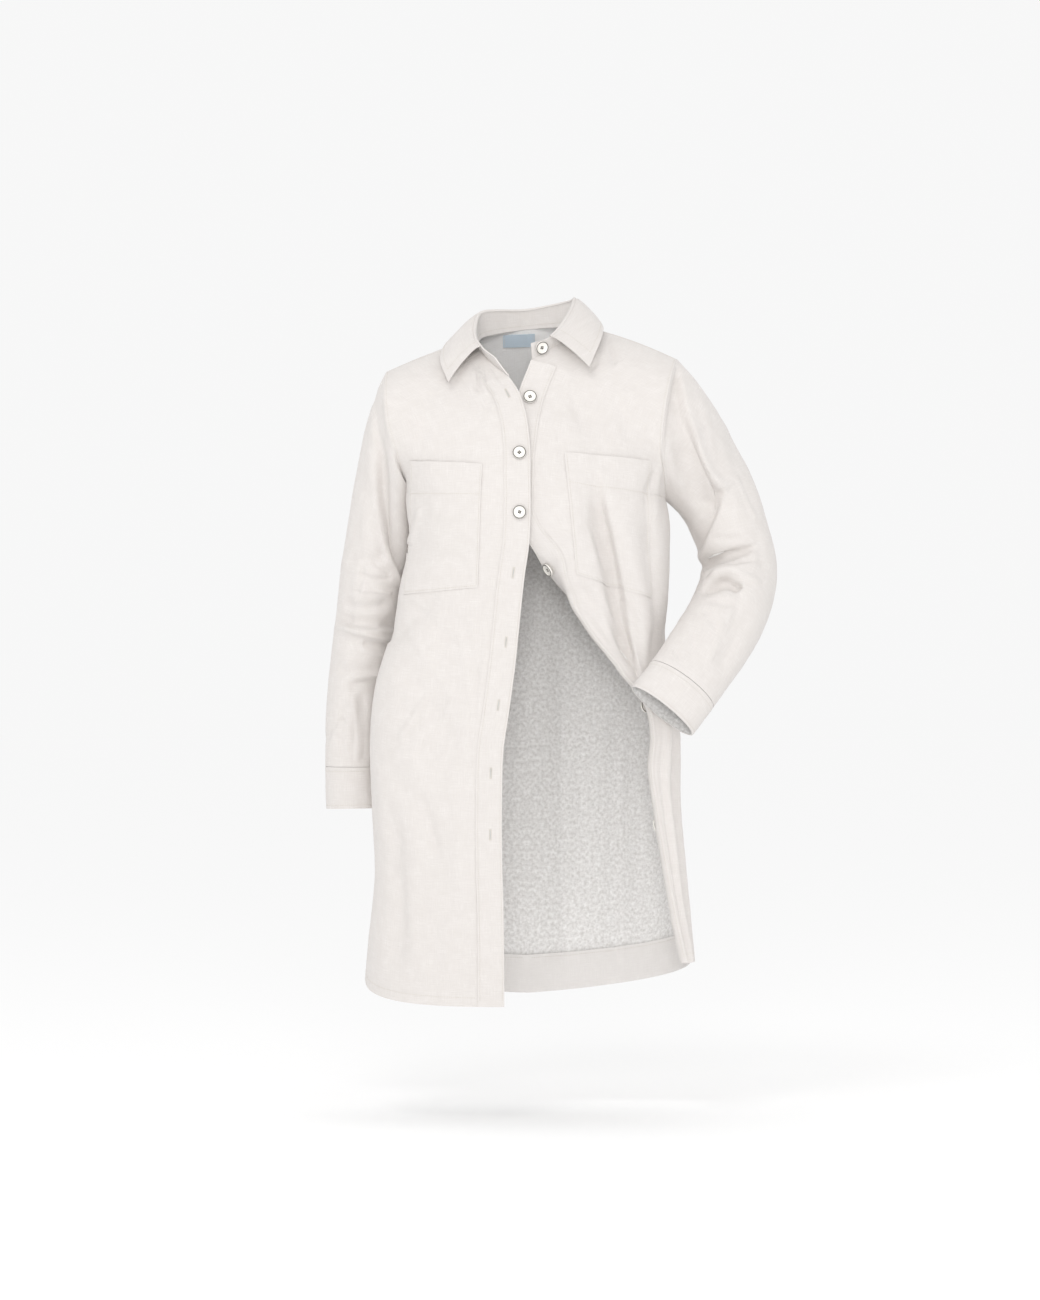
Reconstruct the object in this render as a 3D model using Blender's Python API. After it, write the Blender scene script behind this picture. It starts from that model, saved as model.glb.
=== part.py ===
"""Linen shirt dress, worn with no wearer, fastened at two buttons and open below them.

Metres, +Z up, the front faces -Y and the wearer's left is +X. The origin is the middle of the neck opening,
where the collar stand is sewn on. Each piece of cloth is a thin wall. A front or half of the back is a patch
of rows: a row runs from the panel's inner edge (neckline, then front edge or centre back) to its outer edge
(armhole, then side seam). The inner edge, the outer edge and the roundness of the rows come from the tables
below, in millimetres, and pockets, bands and buttons are laid on the panels' own points.
"""

import math

import bmesh
import bpy
import numpy as np
from mathutils import Matrix, Vector

MM = 0.001

# Cloth
CLOTH = 1.5
DOUBLED = 1.8
BAND_CLOTH = 1.2
POCKET_CLOTH = 1.2
FACING_CLOTH = 1.0
COLLAR_CLOTH = 2.0
LABEL_CLOTH = 1.0
SEAM = 0.2
LIFT = 0.35
POCKET_LIFT = 1.05
LABEL_LIFT = 0.6

# Shares of a panel's length
NECK_SHARE = 0.12
ARM_SHARE = 0.30

# Bands, pockets, cuffs and buttons
BAND = 36.0
BAND_SHARE = 0.16
TURN_BEND = 14.0
BUTTON_RADIUS = 9.2
BUTTON_THICK = 3.0
FACING_DEEP = 48.0
BUTTON_SIDES = 12
SHANK = 0.3
STAND_BUTTON = (2, 27)
CUFF_BUTTON_TURNS = (0.62, 0.60)
LABEL_WIDE = 44.0
LABEL_DEEP = 17.0
LABEL_RISE = 1.5
LABEL_LEFT = -33.0
LABEL_TOP = 9.0

# Nets: rows down a panel and columns across it
PANEL_LENGTH = 950.0
ROW_LENGTH = 220.0
SHOULDER_RATE = 600.0
WAIST_SHARE = 0.50
ROWS = (3, 5, 8, 9, 2)
RIGHT_COLUMNS = (0, 12, 24, BAND)
LEFT_COLUMNS = (0, 11, BAND - TURN_BEND, 25.5, 29, 32.5, BAND)
SLEEVE_ROWS = 20
CUFF_ROWS = 2
SLEEVE_START = 0.004
SLEEVE_STEP = 0.004
PANEL_STEP = 0.002
NET_STEP = 0.01
STAND_COLUMNS = 28
STAND_ROWS = 4
LEAF_COLUMNS = 30
LEAF_ROWS = 5
FAR_COLUMNS_RIGHT = 10
FAR_COLUMNS_LEFT = 12
FAR_COLUMNS_BACK = 11
POCKET_RIGHT_CELLS = (7, 9)
POCKET_LEFT_CELLS = (12, 13)
LABEL_CELLS = (4, 2)
LAID_FINE = 3

# Collar: the stand's ends and bow, and how the leaf leaves the fold and comes down to its free edge
STAND_GAP_SHARE = 0.03
STAND_BOW = 1.0
STAND_LOW_END = 0.006
STAND_TOP_END = 0.004
LEAF_OFF = (2.6, 1.2)
LEAF_LEAVE = (5.0, 3.0)
LEAF_ARRIVE = (5.0, 4.0)
LEAF_ARRIVE_SHARE = 0.45

# How folds die out toward a panel's inner edge, side seam and shoulder, and toward a sleeve's ends
FOLD_INNER = 0.12
FOLD_SIDE = 0.08
FOLD_TOP = 0.06
SLEEVE_FADE_TOP = 0.15
SLEEVE_FADE_END = 0.06
STRIP_BLEND = 0.1
STEEPEST = 0.7


def table(names, *rows):
    """A table as its named columns."""
    return dict(zip(names.split(), np.array(rows, float).T))


# Neckline, from the right front's end round the back to the left front's end.
NECKLINE = table(
    "turn x y z",
    (0.00, -24, -62, -47),
    (0.12, -53, -42, -22),
    (0.25, -67, -5, 5),
    (0.37, -50, 38, 16),
    (0.50, 0, 58, 25),
    (0.63, 50, 38, 27),
    (0.75, 67, -2, 27),
    (0.88, 46, -40, 2),
    (1.00, 5, -58, -24),
)

# Fold line of the collar, which is the top of the stand.
COLLAR_FOLD = table(
    "turn x y z",
    (0.00, -43, -66, -22),
    (0.09, -62, -50, -6),
    (0.18, -70, -26, 10),
    (0.27, -69, 6, 32),
    (0.37, -59, 36, 46),
    (0.50, 0, 62, 50),
    (0.63, 57, 40, 60),
    (0.73, 64, 8, 61),
    (0.83, 54, -28, 36),
    (0.92, 31, -56, 7),
    (1.00, 4, -64, -2),
)

# Free edge of the collar leaf, from the right point to the left one.
COLLAR_EDGE = table(
    "turn x y z",
    (0.00, -106, -78, -54),
    (0.10, -117, -50, -26),
    (0.22, -112, -6, -2),
    (0.35, -84, 58, 2),
    (0.50, 0, 92, 4),
    (0.65, 84, 60, 14),
    (0.78, 103, -4, 26),
    (0.90, 99, -52, 2),
    (1.00, 84, -80, -34),
)
LEAF_START = 0.09
LEAF_END = 0.92

# Armholes, once round from the underarm up the front, over the shoulder and down the back.
ARMHOLE_RIGHT = table(
    "turn x y z",
    (0.00, -164, 12, -198),
    (0.09, -168, -30, -180),
    (0.18, -177, -52, -150),
    (0.27, -189, -58, -110),
    (0.38, -193, -44, -64),
    (0.50, -191, -4, -37),
    (0.62, -190, 36, -56),
    (0.74, -187, 66, -98),
    (0.85, -178, 70, -146),
    (0.93, -168, 50, -182),
)
ARMHOLE_LEFT = table(
    "turn x y z",
    (0.00, 189, 8, -212),
    (0.09, 187, -32, -188),
    (0.18, 182, -56, -152),
    (0.27, 184, -62, -110),
    (0.38, 193, -46, -54),
    (0.50, 204, -2, -20),
    (0.62, 204, 36, -40),
    (0.74, 200, 66, -86),
    (0.85, 194, 70, -146),
    (0.93, 190, 48, -190),
)

# Inner edges of the panels, from the neckline to the hem. A left front that turns under has its edge
# written as if it lay flat, and turn says how far round its band is turned.
EDGE_RIGHT = table(
    "z x y turn",
    (-892, -30, -126, 0),
    (-771, -31, -122, 0),
    (-690, -33, -119, 0),
    (-612, -33, -116, 0),
    (-548, -31, -112, 0),
    (-500, -24, -109, 0),
    (-432, -15, -107, 0),
    (-373, -9, -110, 0),
    (-317, -3, -118, 0),
    (-275, 3, -123, 0),
    (-235, 5, -124, 0),
    (-190, 5, -119, 0),
    (-136, 4, -104, 0),
    (-90, -3, -86, 0),
    (-65, -12, -73, 0),
    (-47, -24, -62, 0),
)
EDGE_LEFT = table(
    "z x y turn",
    (-835, 180, -92, 0.50),
    (-787, 169, -92, 0.52),
    (-672, 148, -90, 0.62),
    (-627, 141, -89, 0.64),
    (-571, 134, -88, 0.66),
    (-530, 137, -88, 0.68),
    (-488, 128, -92, 0.72),
    (-442, 93, -99, 0.83),
    (-377, 45, -105, 0.74),
    (-332, 22, -110, 0.47),
    (-311, 17, -112, 0.30),
    (-296, 15, -114, 0.13),
    (-275, 4, -116, 0.02),
    (-255, -14, -118, 0),
    (-235, -25, -118, 0),
    (-190, -27, -113, 0),
    (-120, -22, -92, 0),
    (-66, -11, -68, 0),
    (-24, 5, -58, 0),
)
CENTRE_BACK = table(
    "z x y turn",
    (-889, 0, 122, 0),
    (-760, 0, 121, 0),
    (-640, 0, 118, 0),
    (-520, 2, 110, 0),
    (-380, 5, 96, 0),
    (-260, 9, 104, 0),
    (-150, 9, 112, 0),
    (-70, 4, 98, 0),
    (-10, 1, 74, 0),
    (25, 0, 58, 0),
)

# Side seams from the underarm to the hem. Lean is how far a row runs inwards as it runs back.
SIDE_RIGHT = table(
    "z x y lean",
    (-860, -220, 4, 0.05),
    (-804, -215, 4, 0.05),
    (-722, -207, 4, 0.08),
    (-628, -209, 4, 0.16),
    (-532, -210, 6, 0.26),
    (-472, -205, 8, 0.30),
    (-416, -190, 10, 0.28),
    (-381, -179, 10, 0.22),
    (-325, -169, 10, 0.22),
    (-272, -158, 12, 0.22),
    (-198, -164, 12, 0.20),
)
SIDE_LEFT = table(
    "z x y lean",
    (-838, 223, 0, 0.0),
    (-730, 214, 0, 0.0),
    (-640, 206, -2, 0.0),
    (-563, 206, -4, 0.0),
    (-520, 207, -6, 0.0),
    (-460, 196, -8, 0.05),
    (-394, 187, -8, 0.08),
    (-347, 190, -8, 0.10),
    (-292, 192, -6, 0.08),
    (-235, 192, 0, 0.05),
    (-212, 189, 8, 0.0),
)

# Roundness of the rows: how far the cloth stays flat from the inner edge, how far it wraps forward or back
# at the side, and how far it still runs outwards there.
ROUNDNESS = table(
    "down flat wrap reach",
    (0.00, 0.50, 0.50, 0.26),
    (0.15, 0.56, 0.52, 0.20),
    (0.30, 0.66, 0.60, 0.00),
    (0.60, 0.70, 0.60, 0.00),
    (1.00, 0.70, 0.58, 0.00),
)
# How late a front's and the back's hems rise from the inner edge to the side seam: 1 is a straight rise.
FRONT_HEM_RISE = 2.4
BACK_HEM_RISE = 1.15

# Folds as soft troughs (depth above 0) or ridges (below 0), in the front view. Each has a start, a bend
# and an end.
FOLD_COLUMNS = "x1 z1 x2 z2 x3 z3 wide depth"
FOLDS_RIGHT = table(
    FOLD_COLUMNS,
    (-172, -430, -130, -480, -92, -550, 13, 3.0),
    (-190, -560, -140, -640, -108, -712, 15, 3.0),
    (-100, -340, -128, -520, -142, -800, 22, 4.0),
    (-60, -420, -72, -600, -80, -880, 20, -4.0),
    (-176, -620, -180, -740, -176, -870, 16, 5.0),
    (-68, -52, -60, -70, -52, -96, 6, 2.2),
    (-160, -150, -140, -220, -150, -330, 20, 3.0),
)
FOLDS_LEFT = table(
    FOLD_COLUMNS,
    (92, -205, 120, -300, 146, -444, 15, 8.0),
    (120, -225, 148, -320, 168, -420, 14, -5.0),
    (60, -322, 112, -372, 146, -444, 12, 7.0),
    (44, -340, 92, -400, 136, -470, 7, -4.0),
    (160, -240, 172, -330, 178, -430, 10, 5.0),
    (66, -60, 84, -110, 96, -180, 16, 3.0),
)
FOLDS_BACK = table(
    FOLD_COLUMNS,
    (-70, -120, -78, -400, -96, -870, 24, 6.0),
    (60, -130, 66, -420, 84, -860, 24, 6.0),
    (-10, -300, -4, -600, 4, -880, 22, -5.0),
    (-140, -330, -146, -560, -150, -860, 18, 5.0),
    (150, -330, 150, -560, 156, -850, 18, 5.0),
    (-120, -60, -60, -110, 0, -130, 16, 3.0),
)
# Upright drapes in the swept strip of the left front below the cuff.
STRIP_TOP = -470.0
STRIP_FULL = -580.0
STRIP_WAVES = 2.5
STRIP_DEEP = 9.0

# Sleeves below the cap: the middle of each ring, and its half width across the view and half depth.
SLEEVE_RIGHT = table(
    "x y z wide deep",
    (-208, 52, -300, 46, 55),
    (-218, 58, -360, 43, 51),
    (-229, 64, -430, 40, 47),
    (-238, 67, -500, 38, 43),
    (-239, 68, -575, 38, 38),
    (-238, 68, -632, 38, 35),
)
SLEEVE_LEFT = table(
    "x y z wide deep",
    (270, 20, -235, 54, 58),
    (288, 12, -300, 52, 54),
    (278, -22, -352, 53, 50),
    (250, -66, -402, 53, 40),
    (207, -110, -462, 52, 28),
    (180, -127, -496, 52, 25),
)
CUFF_START = 0.876
CUFF_GAP = 0.001
CAP_OUT_RIGHT = (-0.22, 0.0, 0.0)
CAP_OUT_LEFT = (0.22, 0.0, 0.0)
CAP_FOLLOW = 0.6
CAP_SHARE = 0.38

SLEEVE_FOLDS_RIGHT = table(
    FOLD_COLUMNS,
    (-205, -120, -205, -200, -190, -300, 12, 5.0),
    (-186, -286, -214, -296, -250, -290, 8, 4.0),
    (-182, -350, -214, -364, -256, -352, 8, 5.0),
    (-190, -384, -220, -392, -258, -386, 8, -4.0),
    (-200, -440, -226, -450, -266, -440, 9, 4.0),
    (-226, -470, -230, -520, -238, -572, 9, 3.0),
)
SLEEVE_FOLDS_LEFT = table(
    FOLD_COLUMNS,
    (214, -90, 233, -170, 262, -215, 14, -7.0),
    (206, -130, 222, -190, 240, -235, 12, 6.0),
    (229, -300, 262, -288, 308, -276, 8, 6.0),
    (238, -330, 267, -316, 290, -326, 8, 6.0),
    (246, -316, 275, -302, 316, -300, 8, -5.0),
    (300, -350, 282, -400, 252, -450, 11, 4.0),
    (276, -110, 290, -170, 306, -240, 12, 4.0),
)

# Pockets: corners in the front view, (x, z), from the inner top round to the outer top.
POCKET_RIGHT = ((-60, -166), (-66, -331), (-166, -340), (-158, -160))
POCKET_LEFT = ((50, -150), (66, -313), (170, -346), (166, -160))

# Buttons on the two bands: height, distance from the band's edge, and room left under the disc, which is
# less than nothing where the band under it curves away.
RIGHT_BAND_BUTTONS = {"button_3": (-148, 16, LIFT), "button_4": (-230, 16, LIFT)}
LEFT_BAND_BUTTONS = {
    "button_2": (-72, 16, LIFT),
    "button_5": (-304, 11, LIFT - 1.4),
    "button_6": (-399, 11, 0.9),
    "button_7": (-484, 11, 0.9),
    "button_8": (-564, 11, 0.9),
    "button_9": (-648, 11, 0.9),
}

# Colours, linear RGB
LINEN = (0.86, 0.84, 0.80)
LINEN_INSIDE = (0.74, 0.73, 0.71)
SHELL = (0.80, 0.78, 0.73)
LABEL_BLUE = (0.55, 0.66, 0.74)


def spline(stations, values, at):
    """Smooth cubic arcs through the values at their stations, for every number in at."""
    if stations[0] > stations[-1]:
        stations, values = stations[::-1], values[::-1]
    at = np.clip(np.asarray(at, float), stations[0], stations[-1])
    slopes = np.gradient(values, stations)
    left = np.clip(np.searchsorted(stations, at, side="right") - 1, 0, len(stations) - 2)
    span = stations[left + 1] - stations[left]
    t = (at - stations[left]) / span
    ease = t * t * (3 - 2 * t)
    rise = span * (slopes[left] * t * (1 - t) ** 2 - slopes[left + 1] * t * t * (1 - t))
    return values[left] * (1 - ease) + values[left + 1] * ease + rise


def along(curve, key, at):
    """Points (x, y, z) of an open curve table at the given values of its key column."""
    return np.stack([spline(curve[key], curve[name], at) for name in "xyz"], axis=-1)


def round_loop(loop, turn):
    """Points of a closed curve table, whose turn runs once round from 0 to 1."""
    turns = np.concatenate([loop["turn"] - 1, loop["turn"], loop["turn"] + 1])
    return np.stack(
        [spline(turns, np.tile(loop[name], 3), np.mod(turn, 1.0)) for name in "xyz"],
        axis=-1,
    )


def smoothstep(value):
    value = np.clip(value, 0, 1)
    return value * value * (3 - 2 * value)


def outer_edge(panel, down):
    """Armhole from the shoulder seam to the underarm, then the side seam to the hem."""
    arm_from, arm_to = panel["arm_turns"]
    share = np.clip(down / ARM_SHARE, 0, 1)
    arm = round_loop(panel["armhole"], arm_from + (arm_to - arm_from) * share)
    side = panel["side"]
    z = side["z"][-1] + (side["z"][0] - side["z"][-1]) * np.clip(
        (down - ARM_SHARE) / (1 - ARM_SHARE), 0, 1
    )
    seam = np.stack([spline(side["z"], side["x"], z), spline(side["z"], side["y"], z), z], axis=-1)
    return np.where((down < ARM_SHARE)[..., None], arm, seam)


def inner_edge(panel, down):
    """Neckline from the shoulder seam to its end, then the front edge or centre back to the hem."""
    neck_from, neck_to = panel["neck_turns"]
    share = np.clip(down / NECK_SHARE, 0, 1)
    neck = along(NECKLINE, "turn", neck_from + (neck_to - neck_from) * share)
    edge = panel["edge"]
    z = edge["z"][-1] + (edge["z"][0] - edge["z"][-1]) * np.clip(
        (down - NECK_SHARE) / (1 - NECK_SHARE), 0, 1
    )
    front = np.stack([spline(edge["z"], edge["x"], z), spline(edge["z"], edge["y"], z), z], axis=-1)
    return np.where((down < NECK_SHARE)[..., None], neck, front)


def turned_under(panel, points, across, edge_z, down):
    """The band beyond its seam bent back inside, by the share of a half turn that the edge table gives."""
    turn = np.where(down < NECK_SHARE, 0.0, spline(panel["edge"]["z"], panel["edge"]["turn"], edge_z))
    beyond = BAND * np.maximum(1 - across / BAND_SHARE, 0)
    angle = np.maximum(turn, 1e-4) * math.pi
    radius = TURN_BEND / angle
    bent = np.minimum(beyond, TURN_BEND)
    straight = beyond - bent
    moved = points.copy()
    moved[..., 0] += beyond - radius * np.sin(bent / radius) - straight * np.cos(angle)
    moved[..., 1] += radius * (1 - np.cos(bent / radius)) + straight * np.sin(angle)
    return moved


def arc_row(panel, inner, outer, s, down):
    """One cubic arc from the inner to the outer edge of a row, as round as the tables say."""
    wide, deep, fall = np.moveaxis(outer - inner, -1, 0)
    flat = spline(ROUNDNESS["down"], ROUNDNESS["flat"], down)
    wrap = spline(ROUNDNESS["down"], ROUNDNESS["wrap"], down)
    reach = spline(ROUNDNESS["down"], ROUNDNESS["reach"], down)
    side = panel["side"]
    lean = spline(side["z"], side["lean"], np.minimum(outer[..., 2], side["z"][-1]))
    lean = lean * smoothstep(down / ARM_SHARE) * panel["bow"]
    first = inner + np.stack([flat * wide, 0 * deep, fall / 3], axis=-1)
    last = outer - np.stack([reach * wide + lean * wrap * np.abs(deep), wrap * deep, fall / 3], axis=-1)
    hem_rise = BACK_HEM_RISE if panel["edge"] is CENTRE_BACK else FRONT_HEM_RISE
    rise = 1 + (hem_rise - 1) * smoothstep((down - 0.5) / 0.5)
    height = inner[..., 2] + fall * s**rise
    s = s[..., None]
    points = inner * (1 - s) ** 3 + 3 * first * s * (1 - s) ** 2 + 3 * last * s * s * (1 - s) + outer * s**3
    points[..., 2] = height
    return points


def row_points(panel, across, down):
    """Plain points of a panel. Across runs from inner to outer edge and down from shoulder to hem, 0 to 1."""
    inner = inner_edge(panel, down)
    outer = outer_edge(panel, down)
    points = arc_row(panel, inner, outer, across, down)
    if not panel["turns_under"]:
        return points
    # Below the neck the band is a strip of even width, and the arc starts at its seam.
    seam = inner + np.array([BAND, 0.0, 0.0])
    main = arc_row(panel, seam, outer, np.clip((across - BAND_SHARE) / (1 - BAND_SHARE), 0, 1), down)
    strip = seam - np.array([BAND, 0.0, 0.0]) * (1 - across / BAND_SHARE)[..., None]
    banded = np.where((across < BAND_SHARE)[..., None], strip, main)
    share = smoothstep((down - NECK_SHARE) / STRIP_BLEND)[..., None]
    return turned_under(panel, points * (1 - share) + banded * share, across, inner[..., 2], down)


def fold_depth(folds, x, z):
    """How deep the troughs are at a place in the front view. Ridges count below 0."""
    total = np.zeros_like(x)
    for x1, z1, x2, z2, x3, z3, wide, depth in zip(*(folds[name] for name in FOLD_COLUMNS.split())):
        steps = np.linspace(0, 1, 9)
        line_x = x1 * (1 - steps) ** 2 + 2 * x2 * steps * (1 - steps) + x3 * steps**2
        line_z = z1 * (1 - steps) ** 2 + 2 * z2 * steps * (1 - steps) + z3 * steps**2
        nearest = np.full_like(x, 1e6)
        where = np.zeros_like(x)
        for k in range(len(steps) - 1):
            run_x, run_z = line_x[k + 1] - line_x[k], line_z[k + 1] - line_z[k]
            t = np.clip(((x - line_x[k]) * run_x + (z - line_z[k]) * run_z) / (run_x**2 + run_z**2), 0, 1)
            gap = np.hypot(x - line_x[k] - t * run_x, z - line_z[k] - t * run_z)
            closer = gap < nearest
            nearest = np.where(closer, gap, nearest)
            where = np.where(closer, (k + t) / (len(steps) - 1), where)
        fade = smoothstep(np.minimum(where, 1 - where) * 4 + 0.15)
        total = total + depth * np.exp(-((nearest / wide) ** 2)) * fade
    return total


def normals_of(shape, across, down, sign, step=PANEL_STEP):
    """Unit normals of a surface function, by stepping a little across and down."""
    a0, a1 = np.clip(across - step, 0, 1), np.clip(across + step, 0, 1)
    d0, d1 = np.clip(down - step, 0, 1), np.clip(down + step, 0, 1)
    normal = sign * np.cross(shape(a1, down) - shape(a0, down), shape(across, d1) - shape(across, d0))
    return normal / np.maximum(np.linalg.norm(normal, axis=-1, keepdims=True), 1e-9)


def strip_waves(panel, across, points):
    """Upright drapes of the swept left front, none at its edge or side seam."""
    if not panel["turns_under"]:
        return 0.0
    low = smoothstep((STRIP_TOP - points[..., 2]) / (STRIP_TOP - STRIP_FULL))
    share = np.clip((across - BAND_SHARE) / (1 - BAND_SHARE), 0, 1)
    ends = smoothstep(4 * share) * smoothstep(4 * (1 - share))
    return STRIP_DEEP * low * ends * np.sin(2 * math.pi * STRIP_WAVES * share)


def panel_shape(panel, across, down):
    """Points of a panel with its folds."""
    across, down = np.broadcast_arrays(np.asarray(across, float), np.asarray(down, float))
    points = row_points(panel, across, down)
    normal = normals_of(lambda a, d: row_points(panel, a, d), across, down, panel["sign"])
    depth = fold_depth(panel["folds"], points[..., 0], points[..., 2])
    sides = smoothstep(across / FOLD_INNER) * smoothstep((1 - across) / FOLD_SIDE)
    depth = depth * sides * smoothstep(down / FOLD_TOP)
    depth = depth + strip_waves(panel, across, points)
    return points - normal * depth[..., None]


def panel_out(panel, across, down, out):
    """Points of a panel moved out of its face."""
    shape = panel_shape(panel, across, down)
    return shape + out * normals_of(lambda a, d: panel_shape(panel, a, d), across, down, panel["sign"])


def find_across(panel, down, distance):
    """How far across a row lies the place at a distance from its inner edge, measured along the cloth."""
    samples = np.linspace(0, 0.6, 61)
    found = []
    for d, reach in zip(np.ravel(down), np.ravel(distance)):
        row = panel_shape(panel, samples, np.full_like(samples, d))
        length = np.concatenate([[0], np.cumsum(np.linalg.norm(np.diff(row, axis=0), axis=1))])
        found.append(np.interp(reach, length, samples))
    return np.array(found).reshape(np.shape(down))


def panel(armhole, arm_turns, neck_turns, edge, side, folds, sign, bow, turns_under=False):
    return {
        "armhole": armhole,
        "arm_turns": arm_turns,
        "neck_turns": neck_turns,
        "edge": edge,
        "side": side,
        "folds": folds,
        "sign": sign,
        "bow": bow,
        "turns_under": turns_under,
    }


FRONT_RIGHT = panel(ARMHOLE_RIGHT, (0.5, 0.0), (0.25, 0.0), EDGE_RIGHT, SIDE_RIGHT, FOLDS_RIGHT, 1, 1)
FRONT_LEFT = panel(ARMHOLE_LEFT, (0.5, 0.0), (0.75, 1.0), EDGE_LEFT, SIDE_LEFT, FOLDS_LEFT, -1, -1, True)
BACK_RIGHT = panel(ARMHOLE_RIGHT, (0.5, 1.0), (0.25, 0.5), CENTRE_BACK, SIDE_RIGHT, FOLDS_BACK, -1, -1)
BACK_LEFT = panel(ARMHOLE_LEFT, (0.5, 1.0), (0.75, 0.5), CENTRE_BACK, SIDE_LEFT, FOLDS_BACK, 1, 1)


def ring(arm, inner_side, share, turn):
    """Point of a sleeve's oval ring. Turn 0 faces the body, 0.25 the front and 0.5 away from the body."""
    stations = np.linspace(0, 1, len(arm["x"]))
    middle = np.stack([spline(stations, arm[name], share) for name in "xyz"], axis=-1)
    after = np.stack([spline(stations, arm[name], share + NET_STEP) for name in "xyz"], axis=-1)
    before = np.stack([spline(stations, arm[name], share - NET_STEP) for name in "xyz"], axis=-1)
    way = after - before
    way = way / np.linalg.norm(way, axis=-1, keepdims=True)
    inner = np.cross(way, np.array([0.0, 1.0, 0.0])) * inner_side
    inner = inner / np.linalg.norm(inner, axis=-1, keepdims=True)
    front = np.cross(way, inner) * inner_side
    wide = spline(stations, arm["wide"], share)
    deep = spline(stations, arm["deep"], share)
    angle = 2 * math.pi * turn
    return (
        middle
        + inner * (wide * np.cos(angle))[..., None]
        + front * (deep * np.sin(angle))[..., None]
    ), way


def sleeve_plain(sleeve, turn, down):
    """Sleeve points: a cap from the armhole to the first ring, then the rings down to the cuff."""
    share = np.clip(down / CAP_SHARE, 0, 1)
    start = round_loop(sleeve["armhole"], turn)
    end, way = ring(sleeve["arm"], sleeve["inner_side"], np.zeros_like(turn), turn)
    run = end - start
    length = np.linalg.norm(run, axis=-1, keepdims=True)
    leave = run * CAP_FOLLOW + np.array(sleeve["out"]) * length
    arrive = way * length
    t = share[..., None]
    cap = (
        start * (1 + 2 * t) * (1 - t) ** 2
        + leave * t * (1 - t) ** 2
        + end * t * t * (3 - 2 * t)
        - arrive * t * t * (1 - t)
    )
    lower = np.clip((down - CAP_SHARE) / (1 - CAP_SHARE), 0, 1)
    rings, _ = ring(sleeve["arm"], sleeve["inner_side"], lower, turn)
    return np.where((down < CAP_SHARE)[..., None], cap, rings)


def sleeve_shape(sleeve, turn, down):
    """Sleeve points with their folds, on the side that faces the front, and fainter ones behind."""
    turn, down = np.broadcast_arrays(np.asarray(turn, float), np.asarray(down, float))
    points = sleeve_plain(sleeve, turn, down)
    normal = sleeve_normals(sleeve, turn, down)
    depth = fold_depth(sleeve["folds"], points[..., 0], points[..., 2])
    facing = smoothstep(0.5 - 1.2 * normal[..., 1]) + 0.5 * smoothstep(1.2 * normal[..., 1] - 0.2)
    fade = smoothstep(down / SLEEVE_FADE_TOP) * smoothstep((CUFF_START - down) / SLEEVE_FADE_END)
    return points - normal * (depth * facing * fade)[..., None]


def sleeve_normals(sleeve, turn, down, step=SLEEVE_STEP):
    """Unit normals of a sleeve without its folds, facing outwards."""
    around = sleeve_plain(sleeve, turn + step, down) - sleeve_plain(sleeve, turn - step, down)
    d0, d1 = np.clip(down - step, 0, 1), np.clip(down + step, 0, 1)
    fall = sleeve_plain(sleeve, turn, d1) - sleeve_plain(sleeve, turn, d0)
    normal = sleeve["sign"] * np.cross(around, fall)
    return normal / np.maximum(np.linalg.norm(normal, axis=-1, keepdims=True), 1e-9)


RIGHT_SLEEVE = {
    "armhole": ARMHOLE_RIGHT,
    "arm": SLEEVE_RIGHT,
    "inner_side": 1,
    "out": CAP_OUT_RIGHT,
    "folds": SLEEVE_FOLDS_RIGHT,
    "sign": 1,
}
LEFT_SLEEVE = {
    "armhole": ARMHOLE_LEFT,
    "arm": SLEEVE_LEFT,
    "inner_side": -1,
    "out": CAP_OUT_LEFT,
    "folds": SLEEVE_FOLDS_LEFT,
    "sign": -1,
}


def material(name, colour, roughness):
    made = bpy.data.materials.new(name)
    made.use_nodes = True
    shader = made.node_tree.nodes["Principled BSDF"]
    shader.inputs["Base Color"].default_value = (*colour, 1)
    shader.inputs["Roughness"].default_value = roughness
    shader.inputs["Metallic"].default_value = 0
    return made


def add_net(mesh, points, normals, thick):
    """Adds a grid whose two walls come from arrays of (rows, columns) places and normals in mm."""
    rows, columns = points.shape[:2]
    layers = mesh.verts.layers.float_vector
    inner = layers.get("inner") or layers.new("inner")
    grid = bmesh.ops.create_grid(mesh, x_segments=columns - 1, y_segments=rows - 1, size=1)["verts"]
    for vert in grid:
        i = round((vert.co.x + 1) / 2 * (columns - 1))
        j = round((1 - vert.co.y) / 2 * (rows - 1))
        vert.co = points[j, i] * MM
        vert[inner] = (points[j, i] - thick * normals[j, i]) * MM


def close_wall(mesh):
    """Grows the inner wall from the outer one and joins them round every free edge."""
    bmesh.ops.remove_doubles(mesh, verts=mesh.verts, dist=0.00001)
    inner = mesh.verts.layers.float_vector["inner"]
    grown = bmesh.ops.extrude_face_region(mesh, geom=mesh.faces[:], use_keep_orig=True)["geom"]
    for piece in grown:
        if isinstance(piece, bmesh.types.BMVert):
            piece.co = piece[inner]
    bmesh.ops.recalc_face_normals(mesh, faces=mesh.faces)


def finish(name, mesh, finish_material):
    """Makes the object, shaded smooth but for its real edges."""
    data = bpy.data.meshes.new(name)
    mesh.to_mesh(data)
    mesh.free()
    made = bpy.data.objects.new(name, data)
    bpy.context.scene.collection.objects.link(made)
    data.materials.append(finish_material)
    data.shade_smooth()
    data.set_sharp_from_angle(angle=math.radians(50))
    return made


def wall_object(name, nets, thick, finish_material):
    """One wall from one or more nets that share an edge. A net is its points and its outward normals."""
    mesh = bmesh.new()
    for points, normals in nets:
        add_net(mesh, points, normals, thick)
    close_wall(mesh)
    return finish(name, mesh, finish_material)


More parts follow.
